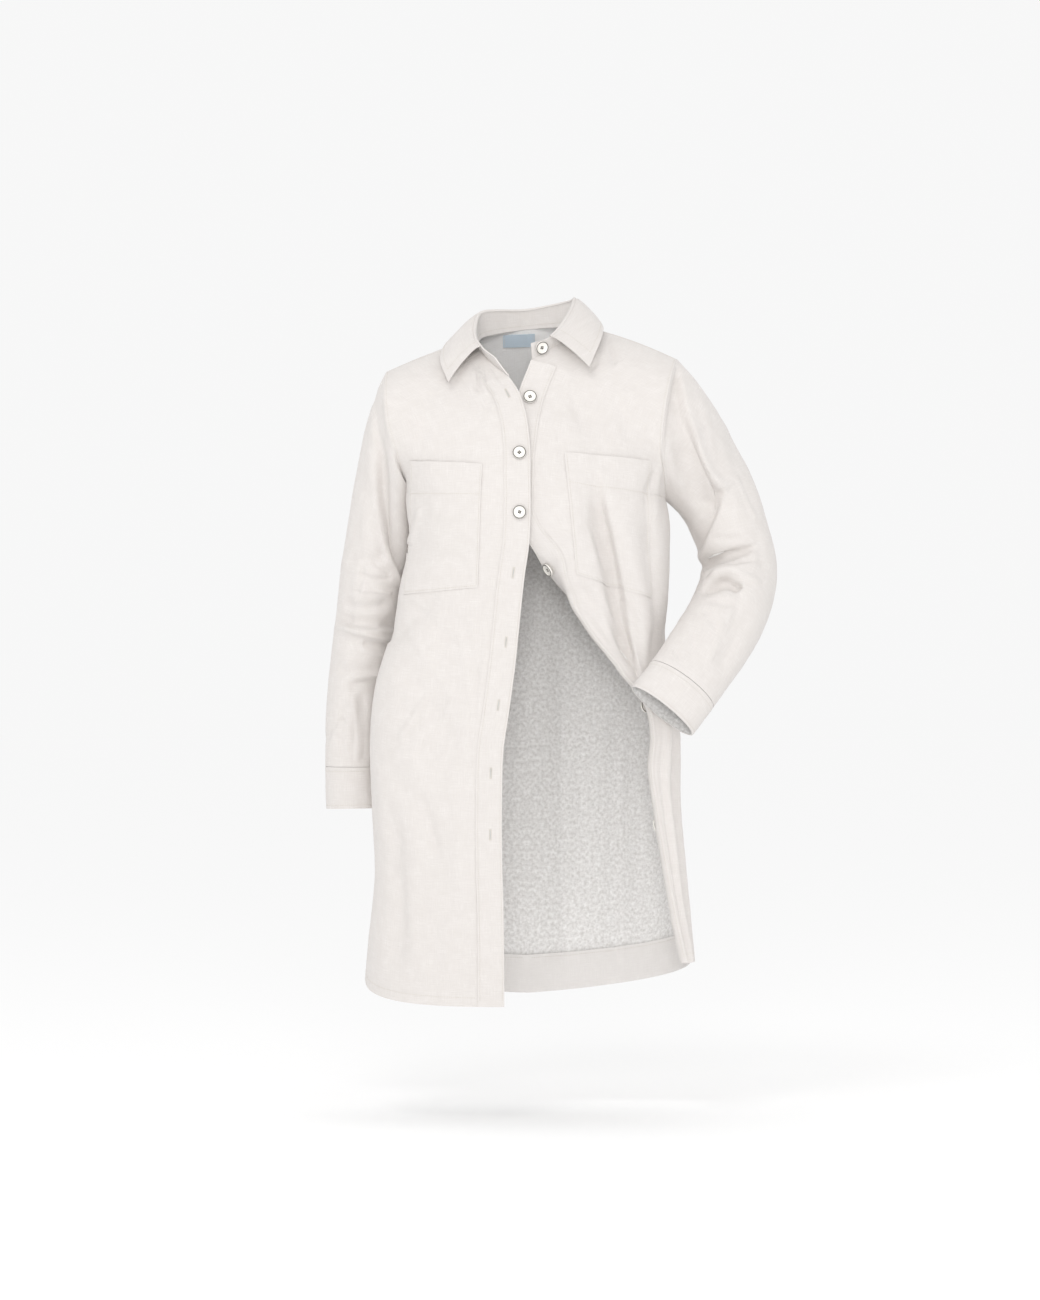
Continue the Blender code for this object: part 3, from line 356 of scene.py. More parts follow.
# Inner edges of the panels, from the neckline to the hem. A left front that turns under has its edge
# written as if it lay flat, and turn says how far round its band is turned.
EDGE_RIGHT = table(
    "z x y",
    (-892, -30, -126),
    (-771, -31, -122),
    (-690, -33, -119),
    (-612, -33, -116),
    (-548, -31, -112),
    (-500, -24, -109),
    (-432, -15, -107),
    (-373, -9, -110),
    (-317, -3, -118),
    (-275, 3, -123),
    (-235, 5, -124),
    (-190, 5, -119),
    (-136, 4, -104),
    (-90, -3, -86),
    (-65, -12, -73),
    (-47, -24, -62),
)
EDGE_LEFT = table(
    "z x y turn",
    (-835, 180, -92, 0.50),
    (-787, 169, -92, 0.52),
    (-672, 148, -90, 0.62),
    (-627, 141, -89, 0.64),
    (-571, 134, -88, 0.66),
    (-530, 137, -88, 0.68),
    (-488, 128, -92, 0.72),
    (-442, 93, -99, 0.83),
    (-377, 45, -105, 0.74),
    (-332, 22, -110, 0.47),
    (-311, 17, -112, 0.30),
    (-296, 15, -114, 0.13),
    (-275, 4, -116, 0.02),
    (-255, -14, -118, 0),
    (-235, -25, -118, 0),
    (-190, -27, -113, 0),
    (-120, -22, -92, 0),
    (-66, -11, -68, 0),
    (-24, 5, -58, 0),
)
CENTRE_BACK = table(
    "z x y",
    (-889, 0, 122),
    (-760, 0, 121),
    (-640, 0, 118),
    (-520, 2, 110),
    (-380, 5, 96),
    (-260, 9, 104),
    (-150, 9, 112),
    (-70, 4, 98),
    (-10, 1, 74),
    (25, 0, 58),
)

# Side seams from the underarm to the hem. Lean is how far a row runs inwards as it runs back.
SIDE_RIGHT = table(
    "z x y lean",
    (-860, -220, 4, 0.05),
    (-804, -215, 4, 0.05),
    (-722, -207, 4, 0.08),
    (-628, -209, 4, 0.16),
    (-532, -210, 6, 0.26),
    (-472, -205, 8, 0.30),
    (-416, -190, 10, 0.28),
    (-381, -179, 10, 0.22),
    (-325, -169, 10, 0.22),
    (-272, -158, 12, 0.22),
    (-198, -164, 12, 0.20),
)
SIDE_LEFT = table(
    "z x y lean",
    (-838, 223, 0, 0.0),
    (-730, 214, 0, 0.0),
    (-640, 206, -2, 0.0),
    (-563, 206, -4, 0.0),
    (-520, 207, -6, 0.0),
    (-460, 196, -8, 0.05),
    (-394, 187, -8, 0.08),
    (-347, 190, -8, 0.10),
    (-292, 192, -6, 0.08),
    (-235, 192, 0, 0.05),
    (-212, 189, 8, 0.0),
)

# Roundness of the rows: how far the cloth stays flat from the inner edge, how far it wraps forward or back
# at the side, and how far it still runs outwards there.
ROUNDNESS = table(
    "down flat wrap reach",
    (0.00, 0.50, 0.50, 0.26),
    (0.15, 0.56, 0.52, 0.20),
    (0.30, 0.66, 0.60, 0.00),
    (0.60, 0.70, 0.60, 0.00),
    (1.00, 0.70, 0.58, 0.00),
)
# Folds as soft troughs (depth above 0) or ridges (below 0), in the front view. Each has a start, a bend
# and an end, then its half width and depth.
FOLD_COLUMNS = "x1 z1 x2 z2 x3 z3 wide depth"
FOLDS_RIGHT = table(
    FOLD_COLUMNS,
    (-172, -430, -130, -480, -92, -550, 13, 3.0),
    (-190, -560, -140, -640, -108, -712, 15, 3.0),
    (-100, -340, -128, -520, -142, -800, 22, 4.0),
    (-60, -420, -72, -600, -80, -880, 20, -4.0),
    (-176, -620, -180, -740, -176, -870, 16, 5.0),
    (-68, -52, -60, -70, -52, -96, 6, 2.2),
    (-160, -150, -140, -220, -150, -330, 20, 3.0),
    (-62, -60, -48, -78, -30, -88, 4, 1.6),
    (-80, -46, -74, -84, -58, -120, 5, 1.4),
    (-34, -100, -38, -128, -28, -156, 5, -1.2),
    (-120, -60, -132, -110, -150, -150, 9, 1.6),
    (-168, -352, -130, -372, -84, -420, 7, 2.0),
    (-160, -392, -124, -430, -96, -498, 6, -1.8),
    (-178, -470, -150, -510, -128, -560, 6, 1.8),
    (-92, -356, -76, -410, -70, -470, 6, 1.5),
    (-150, -600, -128, -640, -122, -700, 7, 1.7),
    (-100, -590, -92, -660, -96, -740, 8, -1.4),
    (-190, -690, -170, -740, -164, -812, 8, 1.8),
    (-60, -700, -66, -780, -62, -860, 8, 1.6),
    (-124, -770, -118, -820, -124, -872, 8, 1.6),
    (-86, -500, -104, -540, -112, -600, 5, 1.2),
    (-200, -560, -196, -620, -190, -700, 7, -1.6),
    (-150, -240, -120, -250, -88, -246, 5, 0.9),
    (-140, -290, -112, -296, -82, -288, 5, 0.9),
)
FOLDS_LEFT = table(
    FOLD_COLUMNS,
    (92, -205, 120, -300, 146, -444, 15, 8.0),
    (120, -225, 148, -320, 168, -420, 14, -5.0),
    (60, -322, 112, -372, 146, -444, 12, 7.0),
    (44, -340, 92, -400, 136, -470, 7, -4.0),
    (160, -240, 172, -330, 178, -430, 10, 5.0),
    (66, -60, 84, -110, 96, -180, 16, 3.0),
    (54, -60, 70, -92, 78, -128, 6, 1.5),
    (110, -50, 128, -90, 140, -140, 9, 1.6),
    (40, -110, 48, -150, 46, -196, 6, 1.2),
    (80, -232, 100, -268, 112, -310, 6, 1.8),
    (150, -210, 158, -260, 160, -312, 6, 1.8),
    (36, -320, 70, -352, 110, -398, 5, 2.2),
    (52, -352, 96, -402, 132, -452, 5, 2.6),
    (90, -350, 118, -396, 144, -440, 6, -2.4),
    (140, -352, 152, -400, 160, -452, 6, 2.6),
    (172, -380, 170, -420, 164, -462, 6, 2.2),
    (28, -262, 34, -300, 48, -330, 5, 1.2),
    (96, -164, 116, -176, 140, -196, 6, 1.2),
    (72, -190, 76, -240, 84, -300, 6, 1.0),
)
FOLDS_BACK = table(
    FOLD_COLUMNS,
    (-70, -120, -78, -400, -96, -870, 24, 6.0),
    (60, -130, 66, -420, 84, -860, 24, 6.0),
    (-10, -300, -4, -600, 4, -880, 22, -5.0),
    (-140, -330, -146, -560, -150, -860, 18, 5.0),
    (150, -330, 150, -560, 156, -850, 18, 5.0),
    (-120, -60, -60, -110, 0, -130, 16, 3.0),
    (-96, -60, -84, -110, -80, -170, 8, 2.0),
    (94, -50, 84, -110, 78, -170, 8, 2.0),
    (-150, -300, -110, -330, -60, -338, 8, 2.2),
    (150, -300, 110, -332, 62, -344, 8, 2.2),
    (-40, -360, -46, -480, -40, -620, 9, 2.0),
    (36, -380, 44, -520, 40, -660, 9, 2.0),
    (-120, -520, -112, -660, -118, -860, 10, 2.4),
    (118, -520, 110, -660, 116, -850, 10, 2.4),
    (-176, -420, -168, -520, -170, -640, 8, 1.8),
    (176, -400, 166, -520, 170, -640, 8, 1.8),
    (-24, -700, -28, -790, -24, -870, 8, -1.8),
    (58, -700, 62, -780, 58, -860, 8, 1.8),
)

# Sleeves below the cap: the middle of each ring, and its half width across the view and half depth.
SLEEVE_RIGHT = table(
    "x y z wide deep",
    (-208, 52, -300, 46, 55),
    (-218, 58, -360, 43, 51),
    (-229, 64, -430, 40, 47),
    (-238, 67, -500, 38, 43),
    (-239, 68, -575, 38, 38),
    (-238, 68, -632, 38, 35),
)
SLEEVE_LEFT = table(
    "x y z wide deep",
    (270, 20, -235, 54, 58),
    (288, 12, -300, 52, 54),
    (278, -22, -352, 53, 50),
    (250, -66, -402, 53, 40),
    (207, -110, -462, 52, 28),
    (180, -127, -496, 52, 25),
)
SLEEVE_FOLDS_RIGHT = table(
    FOLD_COLUMNS,
    (-205, -120, -205, -200, -190, -300, 12, 5.0),
    (-186, -286, -214, -296, -250, -290, 8, 4.0),
    (-182, -350, -214, -364, -256, -352, 8, 5.0),
    (-190, -384, -220, -392, -258, -386, 8, -4.0),
    (-200, -440, -226, -450, -266, -440, 9, 4.0),
    (-226, -470, -230, -520, -238, -572, 9, 3.0),
    (-200, -70, -196, -120, -184, -170, 6, 2.0),
    (-230, -210, -228, -250, -236, -290, 7, 1.6),
    (-240, -300, -246, -350, -250, -400, 6, 2.0),
    (-248, -480, -252, -520, -256, -570, 6, 1.8),
    (-258, -530, -252, -552, -244, -572, 4, 1.4),
)
SLEEVE_FOLDS_LEFT = table(
    FOLD_COLUMNS,
    (214, -90, 233, -170, 262, -215, 14, -7.0),
    (206, -130, 222, -190, 240, -235, 12, 6.0),
    (229, -300, 262, -288, 308, -276, 8, 6.0),
    (238, -330, 267, -316, 290, -326, 8, 6.0),
    (246, -316, 275, -302, 316, -300, 8, -5.0),
    (300, -350, 282, -400, 252, -450, 11, 4.0),
    (276, -110, 290, -170, 306, -240, 12, 4.0),
    (232, -60, 246, -110, 254, -160, 7, -2.0),
    (246, -262, 276, -268, 312, -262, 5, 2.0),
    (240, -344, 262, -356, 286, -352, 5, 2.4),
    (232, -356, 252, -378, 262, -404, 6, 2.4),
    (262, -372, 258, -404, 242, -434, 5, -2.0),
    (222, -384, 224, -412, 214, -444, 5, 2.2),
    (290, -330, 284, -366, 268, -398, 6, 2.2),
    (310, -250, 318, -280, 318, -312, 6, 1.8),
    (240, -440, 234, -462, 222, -478, 4, 1.4),
)

# Pockets: corners in the front view, (x, z), from the inner top round to the outer top.
POCKET_RIGHT = ((-60, -166), (-66, -331), (-166, -340), (-158, -160))
POCKET_LEFT = ((50, -150), (66, -313), (170, -346), (166, -160))


def spline(stations, values, at):
    """Smooth cubic arcs through the values at their stations, for every number in at."""
    if stations[0] > stations[-1]:
        stations, values = stations[::-1], values[::-1]
    at = np.clip(np.asarray(at, float), stations[0], stations[-1])
    slopes = np.gradient(values, stations)
    left = np.clip(np.searchsorted(stations, at, side="right") - 1, 0, len(stations) - 2)
    span = stations[left + 1] - stations[left]
    t = (at - stations[left]) / span
    ease = t * t * (3 - 2 * t)
    rise = span * (slopes[left] * t * (1 - t) ** 2 - slopes[left + 1] * t * t * (1 - t))
    return values[left] * (1 - ease) + values[left + 1] * ease + rise


def along(curve, key, at):
    """Points (x, y, z) of an open curve table at the given values of its key column."""
    return np.stack([spline(curve[key], curve[name], at) for name in "xyz"], axis=-1)


def round_loop(loop, turn):
    """Points of a closed curve table, whose turn runs once round from 0 to 1."""
    turns = np.concatenate([loop["turn"] - 1, loop["turn"], loop["turn"] + 1])
    return np.stack(
        [spline(turns, np.tile(loop[name], 3), np.mod(turn, 1.0)) for name in "xyz"],
        axis=-1,
    )


def smoothstep(value):
    """Eases from 0 to 1."""
    value = np.clip(value, 0, 1)
    return value * value * (3 - 2 * value)


def unit(ways):
    """The ways with a length of 1."""
    return ways / np.maximum(np.linalg.norm(ways, axis=-1, keepdims=True), 1e-9)


def bump(gap, wide):
    """A bell that is 1 where the gap is 0 and fades over a width."""
    return np.exp(-((gap / wide) ** 2))


def run_length(points):
    """Length along a path at each of its points, from 0."""
    return np.concatenate([[0], np.cumsum(np.linalg.norm(np.diff(points, axis=0), axis=1))])


def inset_of(length, count):
    """Distance from the nearer end for evenly spaced stations along a length."""
    run = np.linspace(0, length, count)
    return np.minimum(run, run[::-1])


def outer_edge(panel, down):
    """Armhole from the shoulder seam to the underarm, then the side seam to the hem."""
    arm_from, arm_to = panel["arm_turns"]
    share = np.clip(down / ARM_SHARE, 0, 1)
    arm = round_loop(panel["armhole"], arm_from + (arm_to - arm_from) * share)
    side = panel["side"]
    z = side["z"][-1] + (side["z"][0] - side["z"][-1]) * np.clip(
        (down - ARM_SHARE) / (1 - ARM_SHARE), 0, 1
    )
    seam = np.stack([spline(side["z"], side["x"], z), spline(side["z"], side["y"], z), z], axis=-1)
    return np.where((down < ARM_SHARE)[..., None], arm, seam)


def inner_edge(panel, down):
    """Neckline from the shoulder seam to its end, then the front edge or centre back to the hem."""
    neck_from, neck_to = panel["neck_turns"]
    share = np.clip(down / NECK_SHARE, 0, 1)
    neck = along(NECKLINE, "turn", neck_from + (neck_to - neck_from) * share)
    edge = panel["edge"]
    z = edge["z"][-1] + (edge["z"][0] - edge["z"][-1]) * np.clip(
        (down - NECK_SHARE) / (1 - NECK_SHARE), 0, 1
    )
    front = np.stack([spline(edge["z"], edge["x"], z), spline(edge["z"], edge["y"], z), z], axis=-1)
    return np.where((down < NECK_SHARE)[..., None], neck, front)


def turned_under(panel, points, across, edge_z, down):
    """The band beyond its seam bent back inside, by the share of a half turn that the edge table gives."""
    turn = np.where(down < NECK_SHARE, 0.0, spline(panel["edge"]["z"], panel["edge"]["turn"], edge_z))
    beyond = BAND * np.maximum(1 - across / BAND_SHARE, 0)
    angle = np.maximum(turn, 1e-4) * math.pi
    radius = TURN_BEND / angle
    bent = np.minimum(beyond, TURN_BEND)
    straight = beyond - bent
    moved = points.copy()
    moved[..., 0] += beyond - radius * np.sin(bent / radius) - straight * np.cos(angle)
    moved[..., 1] += radius * (1 - np.cos(bent / radius)) + straight * np.sin(angle)
    return moved


def arc_row(panel, inner, outer, s, down):
    """One cubic arc from the inner to the outer edge of a row, as round as the tables say."""
    wide, deep, fall = np.moveaxis(outer - inner, -1, 0)
    flat = spline(ROUNDNESS["down"], ROUNDNESS["flat"], down)
    wrap = spline(ROUNDNESS["down"], ROUNDNESS["wrap"], down)
    reach = spline(ROUNDNESS["down"], ROUNDNESS["reach"], down)
    side = panel["side"]
    lean = spline(side["z"], side["lean"], np.minimum(outer[..., 2], side["z"][-1]))
    lean = lean * smoothstep(down / ARM_SHARE) * panel["bow"]
    first = inner + np.stack([flat * wide, 0 * deep, fall / 3], axis=-1)
    last = outer - np.stack([reach * wide + lean * wrap * np.abs(deep), wrap * deep, fall / 3], axis=-1)
    hem_rise = BACK_HEM_RISE if panel["edge"] is CENTRE_BACK else FRONT_HEM_RISE
    rise = 1 + (hem_rise - 1) * smoothstep((down - 0.5) / 0.5)
    height = inner[..., 2] + fall * s**rise
    s = s[..., None]
    points = inner * (1 - s) ** 3 + 3 * first * s * (1 - s) ** 2 + 3 * last * s * s * (1 - s) + outer * s**3
    points[..., 2] = height
    return points


def row_points(panel, across, down):
    """Plain points of a panel. Across runs from inner to outer edge and down from shoulder to hem, 0 to 1."""
    inner = inner_edge(panel, down)
    outer = outer_edge(panel, down)
    points = arc_row(panel, inner, outer, across, down)
    if not panel["turns_under"]:
        return points
    # Below the neck the band is a strip of even width, and the arc starts at its seam.
    seam = inner + np.array([BAND, 0.0, 0.0])
    main = arc_row(panel, seam, outer, np.clip((across - BAND_SHARE) / (1 - BAND_SHARE), 0, 1), down)
    strip = seam - np.array([BAND, 0.0, 0.0]) * (1 - across / BAND_SHARE)[..., None]
    banded = np.where((across < BAND_SHARE)[..., None], strip, main)
    share = smoothstep((down - NECK_SHARE) / STRIP_BLEND)[..., None]
    return turned_under(panel, points * (1 - share) + banded * share, across, inner[..., 2], down)


def nearest_on(line, x, z):
    """Each place's distance from a line of (x, z) points, its share along it and the side that it lies on."""
    nearest = np.full_like(x, np.inf)
    share, side = np.zeros_like(x), np.zeros_like(x)
    for k, (start, run) in enumerate(zip(line, np.diff(line, axis=0))):
        t = np.clip(((x - start[0]) * run[0] + (z - start[1]) * run[1]) / (run @ run), 0, 1)
        off_x, off_z = x - start[0] - t * run[0], z - start[1] - t * run[1]
        gap = np.hypot(off_x, off_z)
        closer = gap < nearest
        nearest = np.where(closer, gap, nearest)
        side = np.where(closer, run[0] * off_z - run[1] * off_x, side)
        share = np.where(closer, (k + t) / (len(line) - 1), share)
    return nearest, share, side


def fold_depth(folds, x, z):
    """How deep the troughs are at a place in the front view. Ridges count below 0."""
    total = np.zeros_like(x)
    t = np.linspace(0, 1, FOLD_STEPS)[:, None]
    for *ends, wide, depth in zip(*(folds[name] for name in FOLD_COLUMNS.split())):
        start, bend, end = np.array(ends).reshape(3, 2)
        line = start * (1 - t) ** 2 + 2 * bend * t * (1 - t) + end * t**2
        nearest, share, _ = nearest_on(line, x, z)
        fade = smoothstep(np.minimum(share, 1 - share) * FOLD_FADE[0] + FOLD_FADE[1])
        total = total + depth * bump(nearest, wide) * fade
    return total


def normals_of(shape, across, down, sign=1, step=PANEL_STEP, closed=False):
    """Unit normals of a surface function, by stepping a little across and down. A closed one runs round."""
    low, high = across - step, across + step
    if not closed:
        low, high = np.clip(low, 0, 1), np.clip(high, 0, 1)
    run = shape(high, down) - shape(low, down)
    fall = shape(across, np.clip(down + step, 0, 1)) - shape(across, np.clip(down - step, 0, 1))
    return unit(sign * np.cross(run, fall))


def strip_waves(panel, across, points):
    """Upright drapes of the swept left front, none at its edge or side seam."""
    if not panel["turns_under"]:
        return 0.0
    low = smoothstep((STRIP_TOP - points[..., 2]) / (STRIP_TOP - STRIP_FULL))
    share = np.clip((across - BAND_SHARE) / (1 - BAND_SHARE), 0, 1)
    ends = smoothstep(4 * share) * smoothstep(4 * (1 - share))
    return STRIP_DEEP * low * ends * np.sin(2 * math.pi * STRIP_WAVES * share)


def panel_shape(panel, across, down):
    """Points of a panel with its folds."""
    across, down = np.broadcast_arrays(np.asarray(across, float), np.asarray(down, float))
    points = row_points(panel, across, down)
    normal = normals_of(lambda a, d: row_points(panel, a, d), across, down, panel["sign"])
    depth = fold_depth(panel["folds"], points[..., 0], points[..., 2])
    sides = smoothstep(across / FOLD_INNER) * smoothstep((1 - across) / FOLD_SIDE)
    depth = depth * sides * smoothstep(down / FOLD_TOP)
    depth = depth + strip_waves(panel, across, points)
    return points - normal * depth[..., None]


def named(names, *values):
    """Values under their names."""
    return dict(zip(names.split(), values))


PANEL = "armhole arm_turns neck_turns edge side folds sign bow turns_under"
FRONT_RIGHT = named(
    PANEL, ARMHOLE_RIGHT, (0.5, 0.0), (0.25, 0.0), EDGE_RIGHT, SIDE_RIGHT, FOLDS_RIGHT, 1, 1, False
)
FRONT_LEFT = named(
    PANEL, ARMHOLE_LEFT, (0.5, 0.0), (0.75, 1.0), EDGE_LEFT, SIDE_LEFT, FOLDS_LEFT, -1, -1, True
)
BACK_RIGHT = named(
    PANEL, ARMHOLE_RIGHT, (0.5, 1.0), (0.25, 0.5), CENTRE_BACK, SIDE_RIGHT, FOLDS_BACK, -1, -1, False
)
BACK_LEFT = named(
    PANEL, ARMHOLE_LEFT, (0.5, 1.0), (0.75, 0.5), CENTRE_BACK, SIDE_LEFT, FOLDS_BACK, 1, 1, False
)
SLEEVE = "armhole arm inner_side out folds sign"
RIGHT_SLEEVE = named(SLEEVE, ARMHOLE_RIGHT, SLEEVE_RIGHT, 1, CAP_OUT_RIGHT, SLEEVE_FOLDS_RIGHT, 1)
LEFT_SLEEVE = named(SLEEVE, ARMHOLE_LEFT, SLEEVE_LEFT, -1, CAP_OUT_LEFT, SLEEVE_FOLDS_LEFT, -1)

# Pressed creases, read off the photo: depth, how far it eases to the right of the line's way in the
# front view and to its left, and the line's points, all in mm. Ridges have a depth below 0.
FRONT_RIGHT["creases"] = (
    (4.5, 14, 12, (-120, -342), (-155, -374), (-188, -408)),
    (-2.6, 3, 4, (-136, -474), (-152, -502), (-174, -534)),
    (2.2, 3, 6, (-128, -480), (-144, -508), (-164, -540)),
    (-1.6, 3, 3, (-99, -470), (-108, -498), (-122, -524)),
    (-1.6, 4, 4, (-188, -546), (-162, -549), (-138, -538)),
    (-1.6, 3, 3, (-116, -556), (-104, -532), (-98, -516)),
    (-3.0, 4, 4, (-145, -222), (-152, -248), (-160, -272)),
    (2.0, 4, 3, (-153, -222), (-160, -246), (-164, -262)),
    (4.0, 6, 6, (-116, -54), (-89, -22), (-77, -6), (-56, 0)),
    (2.6, 3, 3, (-70, -26), (-68, -46), (-67, -66)),
    (2.6, 3, 3, (-61, -26), (-57, -48), (-45, -74)),
    (-2.0, 3, 3, (-64, -26), (-62, -48), (-56, -72)),
    (2.0, 3, 3, (-52, -28), (-42, -46), (-28, -62)),
    (2.4, 5, 5, (-60, -352), (-66, -420), (-72, -500), (-74, -600)),
    (2.0, 11, 11, (-190, -600), (-176, -680), (-172, -760), (-176, -840)),
)
FRONT_LEFT["creases"] = (
    (15.0, 22, 3.5, (92, -170), (105, -236), (119, -302), (127, -342), (135, -382), (143, -424), (152, -470)),
    (6.0, 7, 3.5, (68, -322), (98, -382), (114, -415), (128, -448), (140, -480)),
    (-2.0, 8, 6, (60, -330), (88, -384), (104, -417), (120, -452), (132, -490)),
    (-2.0, 8, 6, (84, -326), (108, -372), (124, -410), (138, -450), (148, -490)),
    (4.0, 6, 6, (24, 8), (58, -12), (92, -36)),
    (4.5, 6, 6, (172, -172), (161, -205), (163, -245), (173, -290)),
    (-2.5, 5, 5, (186, -130), (182, -165), (174, -195), (174, -240)),
    (3.0, 5, 4, (98, 20), (106, 6), (113, -10), (120, -30)),
    (2.2, 3, 3, (40, -20), (36, -34), (30, -52)),
    (1.8, 4, 4, (20, -86), (24, -106), (14, -132)),
    (2.0, 4, 4, (178, -520), (188, -575), (198, -650), (208, -740), (212, -860)),
)
RIGHT_SLEEVE["creases"] = (
    (
        12.0, 3, 17,
        (-208, -60), (-206, -150), (-200, -200), (-192, -240), (-184, -270), (-173, -304), (-168, -330),
    ),
    (-9.0, 13, 14, (-176, -140), (-168, -190), (-164, -240), (-163, -285), (-170, -330)),
    (-2.5, 6, 4, (-216, -130), (-211, -190), (-202, -240), (-192, -278), (-184, -300)),
    (8.0, 3.5, 15, (-262, -374), (-236, -379), (-210, -382), (-178, -384)),
    (-3.5, 4, 4, (-264, -382), (-234, -389), (-206, -397), (-180, -404)),
    (4.0, 7, 4, (-224, -404), (-206, -408), (-184, -405)),
    (-2.5, 4, 4, (-226, -412), (-208, -420), (-186, -427)),
    (-3.5, 4, 4, (-240, -454), (-220, -451), (-192, -448)),
    (4.5, 22, 4, (-244, -461), (-216, -458), (-190, -456)),
    (-1.6, 4, 5, (-238, -470), (-230, -530), (-233, -568)),
    (2.0, 6, 7, (-224, -470), (-219, -520), (-222, -566)),
    (-2.6, 3, 3, (-232, -334), (-212, -333), (-184, -339)),
    (3.0, 3, 4, (-228, -312), (-210, -320), (-184, -318)),
    (2.2, 3, 3, (-222, -298), (-226, -318), (-231, -338)),
    (2.4, 3, 3, (-212, -292), (-198, -304), (-186, -312)),
    (2.6, 3, 4, (-276, -544), (-268, -521), (-248, -510)),
)
LEFT_SLEEVE["creases"] = (
    (14.0, 30, 3.5, (196, 0), (206, -50), (212, -100), (222, -140), (236, -175), (250, -192), (266, -208)),
    (11.0, 22, 3.5, (264, -196), (256, -222), (246, -243), (236, -265), (224, -294)),
    (-2.5, 4, 7, (214, -90), (226, -134), (240, -168), (256, -186), (272, -200)),
    (5.5, 5, 4, (226, -308), (248, -294), (272, -286), (312, -274)),
    (3.0, 4, 3, (230, -322), (254, -305), (276, -298), (308, -292)),
    (-4.0, 4, 6, (236, -326), (256, -310), (274, -308), (292, -315), (316, -326)),
    (10.0, 10, 2.6, (230, -338), (246, -326), (264, -318), (280, -322), (290, -332)),
    (-2.6, 3, 3, (194, -416), (199, -436), (217, -461)),
    (-2.2, 4, 4, (284, -176), (298, -210), (312, -240)),
    (2.4, 4, 4, (232, -216), (246, -222), (252, -232)),
)
BACK_RIGHT["creases"] = BACK_LEFT["creases"] = (
    (3.0, 8, 4, (-110, -60), (-92, -120), (-86, -190)),
    (3.0, 4, 8, (108, -50), (92, -120), (84, -190)),
    (4.0, 4, 9, (-176, -300), (-120, -330), (-60, -342)),
    (4.0, 9, 4, (176, -300), (120, -334), (60, -348)),
    (4.0, 4, 12, (-52, -350), (-58, -500), (-54, -700), (-60, -860)),
    (4.0, 12, 4, (46, -360), (54, -520), (50, -700), (56, -860)),
    (3.5, 4, 10, (-128, -480), (-120, -660), (-126, -870)),
    (3.5, 10, 4, (128, -480), (120, -660), (126, -860)),
)


def ring(arm, inner_side, share, turn):
    """Point of a sleeve's oval ring. Turn 0 faces the body, 0.25 the front and 0.5 away from the body."""
    stations = np.linspace(0, 1, len(arm["x"]))
    middle = np.stack([spline(stations, arm[name], share) for name in "xyz"], axis=-1)
    after = np.stack([spline(stations, arm[name], share + NET_STEP) for name in "xyz"], axis=-1)
    before = np.stack([spline(stations, arm[name], share - NET_STEP) for name in "xyz"], axis=-1)
    way = unit(after - before)
    inner = unit(np.cross(way, np.array([0.0, 1.0, 0.0])) * inner_side)
    front = np.cross(way, inner) * inner_side
    wide = spline(stations, arm["wide"], share)
    deep = spline(stations, arm["deep"], share)
    angle = 2 * math.pi * turn
    return (
        middle
        + inner * (wide * np.cos(angle))[..., None]
        + front * (deep * np.sin(angle))[..., None]
    ), way


def sleeve_plain(sleeve, turn, down):
    """Sleeve points: a cap from the armhole to the first ring, then the rings down to the cuff."""
    share = np.clip(down / CAP_SHARE, 0, 1)
    start = round_loop(sleeve["armhole"], turn)
    end, way = ring(sleeve["arm"], sleeve["inner_side"], np.zeros_like(turn), turn)
    run = end - start
    length = np.linalg.norm(run, axis=-1, keepdims=True)
    leave = run * CAP_FOLLOW + np.array(sleeve["out"]) * length
    arrive = way * length
    t = share[..., None]
    cap = (
        start * (1 + 2 * t) * (1 - t) ** 2
        + leave * t * (1 - t) ** 2
        + end * t * t * (3 - 2 * t)
        - arrive * t * t * (1 - t)
    )
    lower = np.clip((down - CAP_SHARE) / (1 - CAP_SHARE), 0, 1)
    rings, _ = ring(sleeve["arm"], sleeve["inner_side"], lower, turn)
    return np.where((down < CAP_SHARE)[..., None], cap, rings)


def facing_front(normals, front, behind):
    """How much of a crease shows where a sleeve faces the front, fainter behind and none at its sides."""
    back = FACING_RATE * normals[..., 1]
    return smoothstep(front - back) + behind * smoothstep(back - FACING_BACK)


def sleeve_shape(sleeve, turn, down):
    """Sleeve points with their folds, on the side that faces the front, and fainter ones behind."""
    turn, down = np.broadcast_arrays(np.asarray(turn, float), np.asarray(down, float))
    points = sleeve_plain(sleeve, turn, down)
    normal = normals_of(
        lambda t, d: sleeve_plain(sleeve, t, d), turn, down, sleeve["sign"], SLEEVE_STEP, closed=True
    )
    depth = fold_depth(sleeve["folds"], points[..., 0], points[..., 2])
    facing = facing_front(normal, FOLD_FACING, FOLD_BEHIND)
    fade = smoothstep(down / SLEEVE_FADE_TOP) * smoothstep((CUFF_START - down) / SLEEVE_FADE_END)
    return points - normal * (depth * facing * fade)[..., None]


def shape_net(shape, columns, rows, outwards):
    """Points and normals of a surface function on a net. Outwards gives the way that its middle faces."""
    across, down = np.meshgrid(np.linspace(0, 1, columns + 1), np.linspace(0, 1, rows + 1))
    points = shape(across, down)
    normals = normals_of(shape, across, down, step=NET_STEP)
    middle = (rows + 1) // 2, (columns + 1) // 2
    if np.dot(normals[middle], outwards(points[middle])) < 0:
        normals = -normals
    return points, normals


def from_axis(place):
    """Way from the dress's upright middle line to a place in mm."""
    return np.array([place[0], place[1], 0.0])


